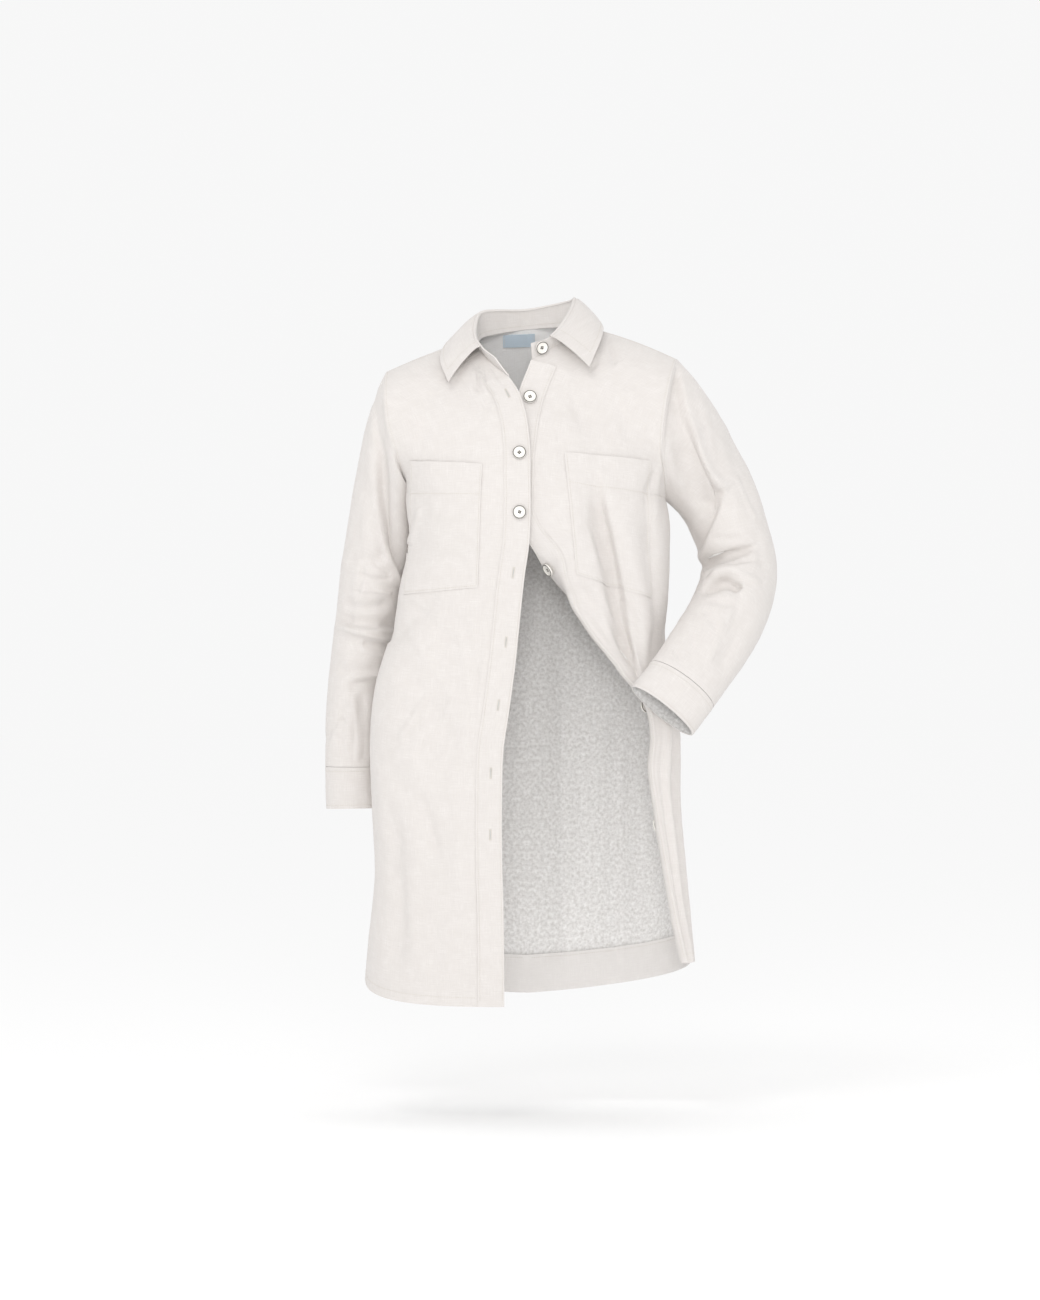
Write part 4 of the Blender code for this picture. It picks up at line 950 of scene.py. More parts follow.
def corner_blend(corners, columns, rows):
    """Places in a four-sided patch, from its inner top, inner low, outer low and outer top corners."""
    inner_top, inner_low, outer_low, outer_top = (np.array(corner, float) for corner in corners)
    across, down = np.meshgrid(np.linspace(0, 1, columns + 1), np.linspace(0, 1, rows + 1))
    across, down = across[..., None], down[..., None]
    top = inner_top * (1 - across) + outer_top * across
    low = inner_low * (1 - across) + outer_low * across
    return top * (1 - down) + low * down


def stand_shape(across, down):
    """Collar stand: across runs round the neck, down 0 is the fold and 1 the neckline seam."""
    low = along(NECKLINE, "turn", STAND_LOW_END + (1 - 2 * STAND_LOW_END) * across)
    top = along(COLLAR_FOLD, "turn", STAND_TOP_END + (1 - 2 * STAND_TOP_END) * across)
    low = low + (top - low) * STAND_GAP_SHARE
    t = down[..., None]
    outwards = level_out(low + top)
    return top * (1 - t) + low * t + outwards * 4 * STAND_BOW * t * (1 - t)


def leaf_shape(across, down):
    """Collar leaf: across runs from right point to left point, down 0 is the fold and 1 the free edge."""
    top = along(COLLAR_FOLD, "turn", LEAF_START + (LEAF_END - LEAF_START) * across)
    low = along(COLLAR_EDGE, "turn", across)
    outwards = level_out(top)
    up = np.array([0.0, 0.0, 1.0])
    top = top + outwards * LEAF_OFF[0] + up * LEAF_OFF[1]
    first = top + outwards * LEAF_LEAVE[0] + up * LEAF_LEAVE[1]
    last = low + (top - low) * LEAF_ARRIVE_SHARE + outwards * LEAF_ARRIVE[0] + up * LEAF_ARRIVE[1]
    t = down[..., None]
    return top * (1 - t) ** 3 + 3 * first * t * (1 - t) ** 2 + 3 * last * t * t * (1 - t) + low * t**3


def up_and_out(place):
    """Way that the collar leaf's back faces."""
    return np.array([place[0], place[1], COLLAR_FOLD["z"].max()])


def crinkle(places):
    """Height in mm of the soft crinkles of washed linen at places in mm."""
    flat = places.reshape(-1, 3)
    heights = np.zeros(len(flat))
    for number, (wide, high, longer) in enumerate(CRINKLES):
        shift = CRINKLE_SHIFT * number
        for k, (x, y, z) in enumerate(flat):
            heights[k] += high * noise.noise(
                (x / wide + shift, y / wide, z / (wide * longer) + CRINKLE_LEAN * x / wide)
            )
    return heights.reshape(places.shape[:-1])


def soften(line):
    """A line of (x, z) points with its corners cut twice."""
    line = np.array(line, float)
    for _ in range(2):
        low, high = line[:-1], line[1:]
        quarter = (high - low) / 4
        cut = np.stack([low + quarter, high - quarter], axis=1)
        line = np.concatenate([line[:1], cut.reshape(-1, 2), line[-1:]])
    return line


def crease_depth(creases, x, z):
    """How deep the pressed creases are at places in the front view: steep on one side, easy on the other."""
    total = np.zeros_like(x)
    for depth, right, left, *points in creases:
        nearest, share, side = nearest_on(soften(points), x, z)
        start, end, least = CREASE_FADE
        fade = smoothstep(np.minimum(start * share, end * (1 - share)) + least)
        total = total + depth * bump(nearest, np.where(side > 0, left, right)) * fade
    return total


def fade_at_seams(across, down):
    """Less crinkle where a panel or sleeve is held by a seam."""
    return smoothstep((1 - across) / SEAM_FADE) * smoothstep(down / SEAM_FADE)


def panel_face(part, across, down):
    """Places and outward normals of a panel with its creases and crinkles."""
    across, down = np.broadcast_arrays(np.asarray(across, float), np.asarray(down, float))
    points = panel_shape(part, across, down)
    normals = normals_of(lambda a, d: panel_shape(part, a, d), across, down, part["sign"], FACE_STEP)
    plain = row_points(part, across, down)
    pressed = crease_depth(part["creases"], plain[..., 0], plain[..., 2])
    if part["turns_under"]:
        pressed = pressed * smoothstep((across - BAND_SHARE) / EDGE_EASE)
    height = crinkle(plain) - pressed
    return points + normals * (height * fade_at_seams(across, down))[..., None], normals


def sleeve_face(sleeve, turn, down):
    """Places and outward normals of a sleeve with its creases and crinkles, fainter behind."""
    turn, down = np.broadcast_arrays(np.asarray(turn, float), np.asarray(down, float))
    points = sleeve_shape(sleeve, turn, down)
    normals = normals_of(
        lambda t, d: sleeve_shape(sleeve, t, d), turn, down, sleeve["sign"], SLEEVE_FACE_STEP, closed=True
    )
    held = smoothstep(down / SEAM_FADE) * smoothstep(np.abs(down - CUFF_START) / CUFF_FADE)
    plain = sleeve_plain(sleeve, turn, down)
    facing = facing_front(normals, CREASE_FACING, CREASE_BEHIND)
    pressed = crease_depth(sleeve["creases"], plain[..., 0], plain[..., 2])
    height = crinkle(plain) - pressed * facing
    return points + normals * (height * held)[..., None], normals


def find_view(part, x, z):
    """How far across and down a panel lies the place that the front view shows at (x, z)."""
    across, down = (np.full(np.shape(x), start) for start in VIEW_START)
    for _ in range(VIEW_ROUNDS):
        here = row_points(part, across, down)
        side = (row_points(part, across + VIEW_STEP, down) - here) / VIEW_STEP
        fall = (row_points(part, across, down + VIEW_STEP) - here) / VIEW_STEP
        miss_x, miss_z = x - here[..., 0], z - here[..., 2]
        area = side[..., 0] * fall[..., 2] - side[..., 2] * fall[..., 0]
        area = np.where(np.abs(area) < LEAST_AREA, LEAST_AREA, area)
        across = across + VIEW_EASE * (miss_x * fall[..., 2] - miss_z * fall[..., 0]) / area
        down = down + VIEW_EASE * (side[..., 0] * miss_z - side[..., 2] * miss_x) / area
        across, down = np.clip(across, *VIEW_ACROSS), np.clip(down, *VIEW_DOWN)
    return across, down


def fine_down():
    """Rows of the fine panels, with stations where the neckline and the armhole end."""
    facing = 1 - FACING_DEEP / PANEL_LENGTH
    ends = (FINE_SEAM / SHOULDER_RATE, NECK_SHARE, ARM_SHARE, WAIST_SHARE, facing, 1)
    parts = [np.linspace(low, high, count + 1)[1:] for low, high, count in zip(ends, ends[1:], DOWN_COUNTS)]
    return np.concatenate([[ends[0]], *parts])


def fine_turns():
    """Turns round an armhole that meet the fine panels' rows."""
    down = fine_down()
    rows = down[down <= ARM_SHARE + SLIGHT] / ARM_SHARE
    rows[0] = 0
    return np.concatenate([0.5 - 0.5 * rows[::-1], 0.5 + 0.5 * rows[1:]])


def columns_at(part, down, distances):
    """Shares across each row at distances from its inner edge, measured along the cloth."""
    samples = np.linspace(0, NEAR_REACH, NEAR_COUNT)
    rows = panel_shape(part, samples[None, :], down[:, None])
    return np.array([np.interp(distances, run_length(row), samples) for row in rows])


def fine_panel(part, neighbour, distances, count):
    """Places and normals of a fine panel net. Seam edges take both panels' mean normals."""
    down = fine_down()
    near = columns_at(part, down, np.array(distances, float))
    start, end = SEAM / ROW_LENGTH, 1 - FINE_SEAM / ROW_LENGTH
    if part["edge"] is CENTRE_BACK:
        near[:, 0] = np.where(down >= NECK_SHARE, 0, start)
    else:
        near[:, 0] = np.maximum(near[:, 0], start)
    far = np.linspace(0, 1, count + 1)[1:]
    across = np.concatenate([near, near[:, -1:] + (end - near[:, -1:]) * far], axis=1)
    down = np.repeat(down[:, None], across.shape[1], axis=1)
    points, normals = panel_face(part, across, down)
    others = normals_of(
        lambda a, d: panel_shape(neighbour, a, d), across, down, neighbour["sign"], FACE_STEP
    )
    shared = np.zeros(across.shape)
    shared[0, :] = 1
    shared[down[:, 0] >= ARM_SHARE, -1] = 1
    shared = shared * (np.sum(normals * others, axis=-1) > 0)
    mean = unit(normals + others * shared[..., None])
    return points, mean / np.maximum(np.sum(mean * normals, axis=-1, keepdims=True), STEEPEST)


def flat_of(points):
    """Metres across and down the cloth for each point of a net, for the weave to follow."""
    over = np.linalg.norm(np.diff(points, axis=1), axis=-1)
    across = np.concatenate([np.zeros((len(points), 1)), np.cumsum(over, axis=1)], axis=1)
    fall = np.linalg.norm(np.diff(points, axis=0), axis=-1).mean(axis=1)
    down = np.concatenate([[0], np.cumsum(fall)])
    return np.stack([across, np.repeat(-down[:, None], points.shape[1], axis=1)], axis=-1) * MM


def srgb(code):
    """Linear colour from an sRGB hex code."""
    parts = [int(code[i : i + 2], 16) / 255 for i in (1, 3, 5)]
    return tuple(c / 12.92 if c <= 0.04045 else ((c + 0.055) / 1.055) ** 2.4 for c in parts) + (1.0,)


def add_node(tree, kind, links=(), **settings):
    """Adds a shader node with its settings and its incoming links. A setting of an input is its number."""
    node = tree.nodes.new(kind)
    inputs = settings.pop("inputs", {})
    for name, value in settings.items():
        setattr(node, name, value)
    for name, value in inputs.items():
        node.inputs[name].default_value = value
    for name, source in links:
        tree.links.new(source, node.inputs[name])
    return node


def new_material(name):
    """An empty node material, its tree and its surface shader."""
    made = bpy.data.materials.new(name)
    made.use_nodes = True
    return made, made.node_tree, made.node_tree.nodes["Principled BSDF"]


def cloth_material(name, light, dark, shade, cloud, strength, thread, roughness=0.9, smooth_neck=False):
    """Washed plain-weave linen: matt, crossed threads, thick slubs both ways, a cloudy tone, a nubby relief.

    Cloud gives the clouds' size in mm, their softness and their share of the relief. Thread is the pitch of
    the drawn threads in mm, about twice the real one, so that they show.
    """
    made, tree, shader = new_material(name)
    flat = add_node(tree, "ShaderNodeUVMap", uv_map="flat").outputs["UV"]
    slub_tones, waves = [], []
    for wide, tall in SLUBS:
        scale = (1 / (wide * MM), 1 / (tall * MM), 1.0)
        way = add_node(tree, "ShaderNodeMapping", [("Vector", flat)], inputs={"Scale": scale})
        settings = {"Scale": 1.0, "Detail": 3.0, "Roughness": 0.6}
        link = [("Vector", way.outputs["Vector"])]
        slub_tones.append(add_node(tree, "ShaderNodeTexNoise", link, inputs=settings).outputs["Fac"])
    links = [(0, slub_tones[0]), (1, slub_tones[1])]
    slubs = add_node(tree, "ShaderNodeMath", links, operation="ADD").outputs["Value"]
    scale = 1 / (WAVE_BANDS * thread * MM)
    settings = {"Scale": scale, "Distortion": 1.2, "Detail": 1.0, "Detail Scale": 1.0}
    for way in ("X", "Y"):
        wave = add_node(
            tree,
            "ShaderNodeTexWave",
            [("Vector", flat)],
            wave_type="BANDS",
            bands_direction=way,
            inputs=settings,
        )
        waves.append(wave.outputs["Fac"])
    links = [(0, waves[0]), (1, waves[1])]
    threads = add_node(tree, "ShaderNodeMath", links, operation="MULTIPLY").outputs["Value"]
    size, softness, cloud_relief = cloud
    settings = {"Scale": 1 / (size * MM), "Detail": 4.0, "Roughness": 0.65}
    clouds = add_node(tree, "ShaderNodeTexNoise", [("Vector", flat)], inputs=settings).outputs["Fac"]
    settings = {"From Min": SLUB_TONES[0], "From Max": SLUB_TONES[1]}
    mix = add_node(tree, "ShaderNodeMapRange", [("Value", slubs)], inputs=settings).outputs["Result"]
    tone = add_node(tree, "ShaderNodeMix", [(0, mix)], data_type="RGBA")
    tone.inputs[6].default_value = srgb(dark)
    tone.inputs[7].default_value = srgb(light)
    settings = {"From Min": 0.5 - softness, "From Max": 0.5 + softness}
    cloudy = add_node(tree, "ShaderNodeMapRange", [("Value", clouds)], inputs=settings).outputs["Result"]
    if smooth_neck:
        place = add_node(tree, "ShaderNodeTexCoord").outputs["Object"]
        height = add_node(tree, "ShaderNodeSeparateXYZ", [("Vector", place)]).outputs["Z"]
        settings = {"From Min": SMOOTH_FROM, "From Max": SMOOTH_TO}
        near_neck = add_node(tree, "ShaderNodeMapRange", [("Value", height)], inputs=settings)
        links = [(0, cloudy), (1, near_neck.outputs["Result"])]
        cloudy = add_node(tree, "ShaderNodeMath", links, operation="MAXIMUM").outputs["Value"]
    shaded = add_node(tree, "ShaderNodeMix", [(0, cloudy), (7, tone.outputs[2])], data_type="RGBA")
    shaded.inputs[6].default_value = srgb(shade)
    tree.links.new(shaded.outputs[2], shader.inputs["Base Color"])
    relief = add_node(tree, "ShaderNodeMath", [(0, slubs), (1, threads)], operation="ADD").outputs["Value"]
    lift = add_node(tree, "ShaderNodeMath", [(0, clouds), (2, relief)], operation="MULTIPLY_ADD")
    lift.inputs[1].default_value = cloud_relief
    settings = {"Strength": strength, "Distance": 0.4 * MM}
    rise = add_node(tree, "ShaderNodeBump", [("Height", lift.outputs["Value"])], inputs=settings)
    tree.links.new(rise.outputs["Normal"], shader.inputs["Normal"])
    shader.inputs["Roughness"].default_value = roughness
    shader.inputs["Sheen Weight"].default_value = 0.25
    shader.inputs["Sheen Roughness"].default_value = 0.5
    shader.inputs["Specular IOR Level"].default_value = 0.15
    return made


def plain_material(name, colour, roughness, specular=0.3):
    """An even finish of one colour."""
    made, _, shader = new_material(name)
    shader.inputs["Base Color"].default_value = srgb(colour)
    shader.inputs["Roughness"].default_value = roughness
    shader.inputs["Specular IOR Level"].default_value = specular
    return made


def shell_material():
    """Turned and polished shell: glossy, pearly white with faint growth bands, and a ring of painted shade
    near its outer edge.
    """
    made, tree, shader = new_material("polished_shell")
    place = add_node(tree, "ShaderNodeTexCoord").outputs["Object"]
    settings = {"Scale": 180.0, "Detail": 3.0, "Distortion": 1.5}
    bands = add_node(tree, "ShaderNodeTexNoise", [("Vector", place)], inputs=settings).outputs["Fac"]
    pearl = add_node(tree, "ShaderNodeMix", [(0, bands)], data_type="RGBA")
    pearl.inputs[6].default_value = srgb("#e6e1d8")
    pearl.inputs[7].default_value = srgb("#faf8f3")
    radius = add_node(tree, "ShaderNodeAttribute", attribute_name="from_middle").outputs["Fac"]
    # Painted shade: a dark ring from 0.82 to 0.87 of the radius out, fading again from 0.95 to 0.985, where
    # the raised outer edge turns away.
    edges = []
    for low, high, first, last in ((0.82, 0.87, 0.0, 1.0), (0.95, 0.985, 1.0, 0.0)):
        settings = {"From Min": low, "From Max": high, "To Min": first, "To Max": last}
        edge = add_node(tree, "ShaderNodeMapRange", [("Value", radius)], inputs=settings)
        edges.append(edge.outputs["Result"])
    links = [(0, edges[0]), (1, edges[1])]
    painted_rim_shade = add_node(tree, "ShaderNodeMath", links, operation="MULTIPLY").outputs["Value"]
    rim_shaded_pearl = add_node(tree, "ShaderNodeMix", [(0, painted_rim_shade), (6, pearl.outputs[2])], data_type="RGBA")
    # Colour of the painted shade ring, a near-black brown.
    rim_shaded_pearl.inputs[7].default_value = srgb("#38332d")
    tree.links.new(rim_shaded_pearl.outputs[2], shader.inputs["Base Color"])
    shader.inputs["Roughness"].default_value = 0.28
    shader.inputs["Coat Weight"].default_value = 0.3
    return made


def label_material():
    """Woven polyester satin, pale blue and bare: a soft sheen over fine ribs 0.75 mm apart."""
    made, tree, shader = new_material("woven_satin_label")
    flat = add_node(tree, "ShaderNodeUVMap", uv_map="flat").outputs["UV"]
    ribs = add_node(
        tree,
        "ShaderNodeTexWave",
        [("Vector", flat)],
        wave_type="BANDS",
        bands_direction="Y",
        inputs={"Scale": 1 / (WAVE_BANDS * 0.748 * MM), "Distortion": 0.4, "Detail": 1.0},
    ).outputs["Fac"]
    tone = add_node(tree, "ShaderNodeMix", [(0, ribs)], data_type="RGBA")
    tone.inputs[6].default_value = srgb("#bccddb")
    tone.inputs[7].default_value = srgb("#d3dfe8")
    tree.links.new(tone.outputs[2], shader.inputs["Base Color"])
    settings = {"Strength": 0.4, "Distance": 0.2 * MM}
    rise = add_node(tree, "ShaderNodeBump", [("Height", ribs)], inputs=settings)
    tree.links.new(rise.outputs["Normal"], shader.inputs["Normal"])
    shader.inputs["Roughness"].default_value = 0.55
    shader.inputs["Sheen Weight"].default_value = 0.2
    return made


def add_net(mesh, points, normals, thick):
    """Adds a grid whose two walls come from arrays of (rows, columns) places and normals in mm."""
    rows, columns = points.shape[:2]
    flat = flat_of(points)
    layers = mesh.verts.layers.float_vector
    inner = layers.get("inner") or layers.new("inner")
    weave = mesh.loops.layers.uv.get("flat") or mesh.loops.layers.uv.new("flat")
    grid = bmesh.ops.create_grid(mesh, x_segments=columns - 1, y_segments=rows - 1, size=1)["verts"]
    spots = {}
    for vert in grid:
        i = round((vert.co.x + 1) / 2 * (columns - 1))
        j = round((1 - vert.co.y) / 2 * (rows - 1))
        spots[vert] = (j, i)
        vert.co = points[j, i] * MM
        vert[inner] = (points[j, i] - thick * normals[j, i]) * MM
    for face in {face for vert in grid for face in vert.link_faces}:
        for loop in face.loops:
            loop[weave].uv = flat[spots[loop.vert]]


def close_wall(mesh):
    """Grows the inner wall from the outer one and joins them round free edges. Inner faces take slot 1."""
    bmesh.ops.remove_doubles(mesh, verts=mesh.verts, dist=0.00001)
    inner = mesh.verts.layers.float_vector["inner"]
    grown = bmesh.ops.extrude_face_region(mesh, geom=mesh.faces[:], use_keep_orig=True)["geom"]
    for piece in grown:
        if isinstance(piece, bmesh.types.BMVert):
            piece.co = piece[inner]
        elif isinstance(piece, bmesh.types.BMFace):
            piece.material_index = 1
    for face in mesh.faces:
        face.smooth = True
    bmesh.ops.recalc_face_normals(mesh, faces=mesh.faces)


def show(name, data):
    """A new object in the scene from its data."""
    made = bpy.data.objects.new(name, data)
    bpy.context.scene.collection.objects.link(made)
    return made


def finish_piece(name, mesh, materials, replaced=()):
    """Makes the shown object, lets it ride on the dress and stand for its CAD nodes."""
    data = bpy.data.meshes.new(name)
    mesh.to_mesh(data)
    mesh.free()
    made = show(name, data)
    for finish in materials:
        data.materials.append(finish)
    data.shade_smooth()
    data.set_sharp_from_angle(angle=SHARP_ANGLE)
    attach(made, "root")
    if replaced:
        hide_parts(*replaced)
    return made


def cloth_piece(name, nets, thick, materials, replaced=()):
    """One thin wall from nets of places and normals."""
    mesh = bmesh.new()
    for points, normals in nets:
        add_net(mesh, points, normals, thick)
    close_wall(mesh)
    return finish_piece(name, mesh, materials, replaced)


def even_path(points, normals, pitch):
    """Points and normals along a path at an even pitch in mm."""
    lengths = run_length(points)
    at = np.linspace(0, lengths[-1], max(int(lengths[-1] / pitch), 1) + 1)
    even, facing = (
        np.stack([np.interp(at, lengths, values[:, k]) for k in range(3)], axis=-1)
        for values in (points, normals)
    )
    return even, unit(facing)


def add_grain(mesh, place, ways, size, fineness=1):
    """Adds a grain of thread at a place in mm, on three ways, with its three half sizes in mm."""
    turned = Matrix(ways).transposed().to_4x4()
    stretched = Matrix.Diagonal((*(length * MM for length in size), 1))
    place = Matrix.Translation(Vector(place) * MM)
    bmesh.ops.create_icosphere(mesh, subdivisions=fineness, radius=1.0, matrix=place @ turned @ stretched)


def add_stitches(mesh, points, normals, pitch=STITCH_PITCH, long=STITCH_LONG, thick=STITCH_THICK):
    """Adds a row of sewn stitches along a path, each a small grain of thread half sunk in the cloth."""
    even, facing = even_path(points, normals, pitch)
    row = bmesh.new()
    for here, after, up in zip(even, even[1:], facing):
        run = Vector(after - here)
        if run.length < SLIGHT:
            continue
        run.normalize()
        side = Vector(up).cross(run).normalized()
        up = run.cross(side)
        place = Vector((here + after) / 2) + up * STITCH_OUT
        add_grain(row, place, (side, run, up), (thick, long / 2, thick))
    data = bpy.data.meshes.new("row")
    row.to_mesh(data)
    row.free()
    mesh.from_mesh(data)
    bpy.data.meshes.remove(data)


def rounded(distance, width):
    """How far cloth drops, in mm, at a distance in from a sewn edge, with a groove under the stitches."""
    edge = EDGE_DROP * (1 - smoothstep(distance / EDGE_WIDE))
    return edge + GROOVE_DEEP * bump(distance - width, GROOVE_WIDE)


def border(points, normals, inset, sides):
    """Paths just inside the edges of a patch net, at an inset in mm. Sides are left, low, right and top."""
    rows, columns = points.shape[:2]
    wide = np.linalg.norm(points[rows // 2, -1] - points[rows // 2, 0])
    tall = np.linalg.norm(points[-1, columns // 2] - points[0, columns // 2])
    i, j = inset / wide * (columns - 1), inset / tall * (rows - 1)
    ends = {
        "left": ((j, i), (rows - 1 - j, i)),
        "low": ((rows - 1 - j, i), (rows - 1 - j, columns - 1 - i)),
        "right": ((rows - 1 - j, columns - 1 - i), (j, columns - 1 - i)),
        "top": ((j, i), (j, columns - 1 - i)),
    }
    return [net_path(points, normals, *ends[side]) for side in sides]


def net_path(points, normals, start, end):
    """Points and normals on a net along a straight run between two (row, column) places."""
    at = np.linspace(0, 1, PATH_COUNT)[:, None]
    spots = np.array(start) * (1 - at) + np.array(end) * at
    return read_net(points, spots), read_net(normals, spots)


def read_net(values, spots):
    """Values of a net at fractional (row, column) places."""
    rows, columns = values.shape[:2]
    j = np.clip(np.floor(spots[:, 0]).astype(int), 0, rows - 2)
    i = np.clip(np.floor(spots[:, 1]).astype(int), 0, columns - 2)
    t, s = (spots[:, 0] - j)[:, None], (spots[:, 1] - i)[:, None]
    low = values[j, i] * (1 - s) + values[j, i + 1] * s
    high = values[j + 1, i] * (1 - s) + values[j + 1, i + 1] * s
    return low * (1 - t) + high * t


def build_body(cloth, facing_cloth, thread):
    """The two fronts and the back, with bands, pockets and hem facing. Also returns the right front's net."""
    right = fine_panel(FRONT_RIGHT, BACK_RIGHT, BAND_STATIONS, FAR_FINE)
    left = fine_panel(FRONT_LEFT, BACK_LEFT, BAND_STATIONS, FAR_FINE)
    back_right = fine_panel(BACK_RIGHT, FRONT_RIGHT, (0,), BACK_FINE)
    back_left = fine_panel(BACK_LEFT, FRONT_LEFT, (0,), BACK_FINE)
    pieces = {
        name: cloth_piece("cloth_" + name, nets, CLOTH, cloth, [name])
        for name, nets in (
            ("front_right", [right]),
            ("front_left", [left]),
            ("back", [back_right, back_left]),
        )
    }
    stitches = bmesh.new()
    neck_row = DOWN_COUNTS[0]
    far = len(BAND_STATIONS)
    stations = np.array(BAND_STATIONS)
    drop = rounded(np.minimum(stations, BAND - stations), EDGE_INSET)
    inset_columns = BAND_STATIONS.index(EDGE_INSET), BAND_STATIONS.index(BAND - EDGE_INSET)
    for name, net in (("band_right", right), ("band_left", left)):
        points, normals = net[0][neck_row:, :far], net[1][neck_row:, :far]
        outer = points + (LIFT + BAND_CLOTH - drop)[None, :, None] * normals
        pieces[name] = cloth_piece("cloth_" + name, [(outer, normals)], LAID_WALL, cloth, [name])
        for column in inset_columns:
            add_stitches(stitches, outer[2:-2, column], normals[2:-2, column])
    for name, part, corners in (
        ("pocket_right", FRONT_RIGHT, POCKET_RIGHT),
        ("pocket_left", FRONT_LEFT, POCKET_LEFT),
    ):
        view = corner_blend(corners, *POCKET_FINE)
        net = panel_face(part, *find_view(part, view[..., 0], view[..., 1]))
        pieces[name] = build_pocket(name, *net, cloth, stitches)
    hem_count = DOWN_COUNTS[-1]
    hem_rows = slice(-1 - hem_count, None)
    stands = FACING_STANDS * np.exp(-np.arange(hem_count + 1) / FACING_STANDS_OVER)[:, None, None]
    off = CLOTH + LIFT + stands
    facing = [
        (net[0][hem_rows, :-1] - off * net[1][hem_rows, :-1], net[1][hem_rows, :-1])
        for net in (back_right, back_left)
    ]
    pieces["back_hem"] = cloth_piece("cloth_back_hem", facing, FACING_CLOTH, facing_cloth, ["back_hem"])
    for points, normals in facing:
        lined = points - FACING_CLOTH * normals
        add_stitches(stitches, lined[1, 1:-1], -normals[1, 1:-1])
    for points, normals in (back_right, back_left):
        add_stitches(stitches, points[-1 - hem_count, 1:-1], normals[-1 - hem_count, 1:-1])
    for points, normals in (right, left):
        add_stitches(stitches, points[-4, far:-1], normals[-4, far:-1])
    arm_rows = int(np.sum(fine_down() <= ARM_SHARE + SLIGHT))
    for points, normals in (right, left, back_right, back_left):
        add_stitches(stitches, points[2:arm_rows, -4], normals[2:arm_rows, -4])
    for points, normals in (right, left):
        add_stitches(stitches, points[1, 2:-4], normals[1, 2:-4])
    finish_piece("stitches_body", stitches, [thread])
    return pieces, right


def build_pocket(name, points, normals, cloth, stitches):
    """A patch pocket with a deep double hem, edge-stitched on three sides, standing just off the front."""
    rows, columns = points.shape[:2]
    tall = np.linalg.norm(points[-1, columns // 2] - points[0, columns // 2])
    wide = np.linalg.norm(points[rows // 2, -1] - points[rows // 2, 0])
    depth = np.linspace(0, tall, rows)[:, None]
    side = inset_of(wide, columns)[None, :]
    drop = rounded(np.minimum(side, tall - depth), EDGE_INSET)
    drop = drop + HEM_LINE_DEEP * bump(depth - POCKET_HEM, HEM_LINE_WIDE)
    hem = HEM_STANDS * (1 - smoothstep((depth - POCKET_HEM) / HEM_EASE))
    mouth = MOUTH_GAPE * bump(depth, MOUTH_DEEP) * smoothstep(side / MOUTH_WIDE)
    outer = points + (LIFT + POCKET_CLOTH + hem + mouth - drop)[..., None] * normals
    made = cloth_piece("cloth_" + name, [(outer, normals)], LAID_WALL, cloth, [name])
    for path in border(outer, normals, EDGE_INSET, ("left", "low", "right")):
        add_stitches(stitches, *path)
    line = POCKET_HEM / tall * (rows - 1)
    edge = EDGE_INSET / wide * (columns - 1)
    add_stitches(stitches, *net_path(outer, normals, (line, edge), (line, columns - 1 - edge)))
    return made


def build_label(blue, thread):
    """The bare neck label, sewn along its two short ends inside the back neck."""
    corners = (
        (LABEL_LEFT, LABEL_TOP),
        (LABEL_LEFT, LABEL_TOP - LABEL_DEEP),
        (LABEL_LEFT + LABEL_WIDE, LABEL_TOP - LABEL_DEEP + LABEL_RISE),
        (LABEL_LEFT + LABEL_WIDE, LABEL_TOP + LABEL_RISE),
    )
    view = corner_blend(corners, *LABEL_FINE)
    points = np.zeros((*view.shape[:2], 3))
    normals = np.zeros_like(points)
    for part, mine in ((BACK_RIGHT, view[..., 0] < CENTRE_X), (BACK_LEFT, view[..., 0] >= CENTRE_X)):
        here, facing = panel_face(part, *find_view(part, view[..., 0], view[..., 1]))
        points = np.where(mine[..., None], here, points)
        normals = np.where(mine[..., None], facing, normals)
    belly = LABEL_BELLY * np.sin(np.linspace(0, math.pi, view.shape[1]))[None, :, None]
    outer = points - (CLOTH + LABEL_LIFT + LABEL_ROOM + belly) * normals
    label = cloth_piece("cloth_label", [(outer, -normals)], LABEL_CLOTH, [blue, blue], ["label"])
    stitches = bmesh.new()
    for path in border(outer, -normals, LABEL_INSET, ("left", "right")):
        add_stitches(stitches, *path, **LABEL_STITCH)
    finish_piece("stitches_label", stitches, [thread])
    return label


def level_out(places):
    """Unit ways from the upright middle line out to places."""
    return unit(places * np.array([1.0, 1.0, 0.0]))


def roll_over(points, normals):
    """The leaf's net with rows before it that roll over the top of the stand from its inner side."""
    across = np.linspace(0, 1, points.shape[1])
    fold = along(COLLAR_FOLD, "turn", LEAF_START + (LEAF_END - LEAF_START) * across)
    middle = (fold - level_out(fold) * ROLL_INSIDE + points[0]) / 2
    reach = points[0] - middle
    up = np.linalg.norm(reach, axis=-1, keepdims=True) * np.array([0.0, 0.0, 1.0])
    angles = np.linspace(math.pi, 0, ROLL_ROWS + 1)[:-1]
    ways = np.array([math.cos(angle) * reach + math.sin(angle) * up for angle in angles])
    return np.concatenate([middle + ways, points]), np.concatenate([unit(ways), normals])


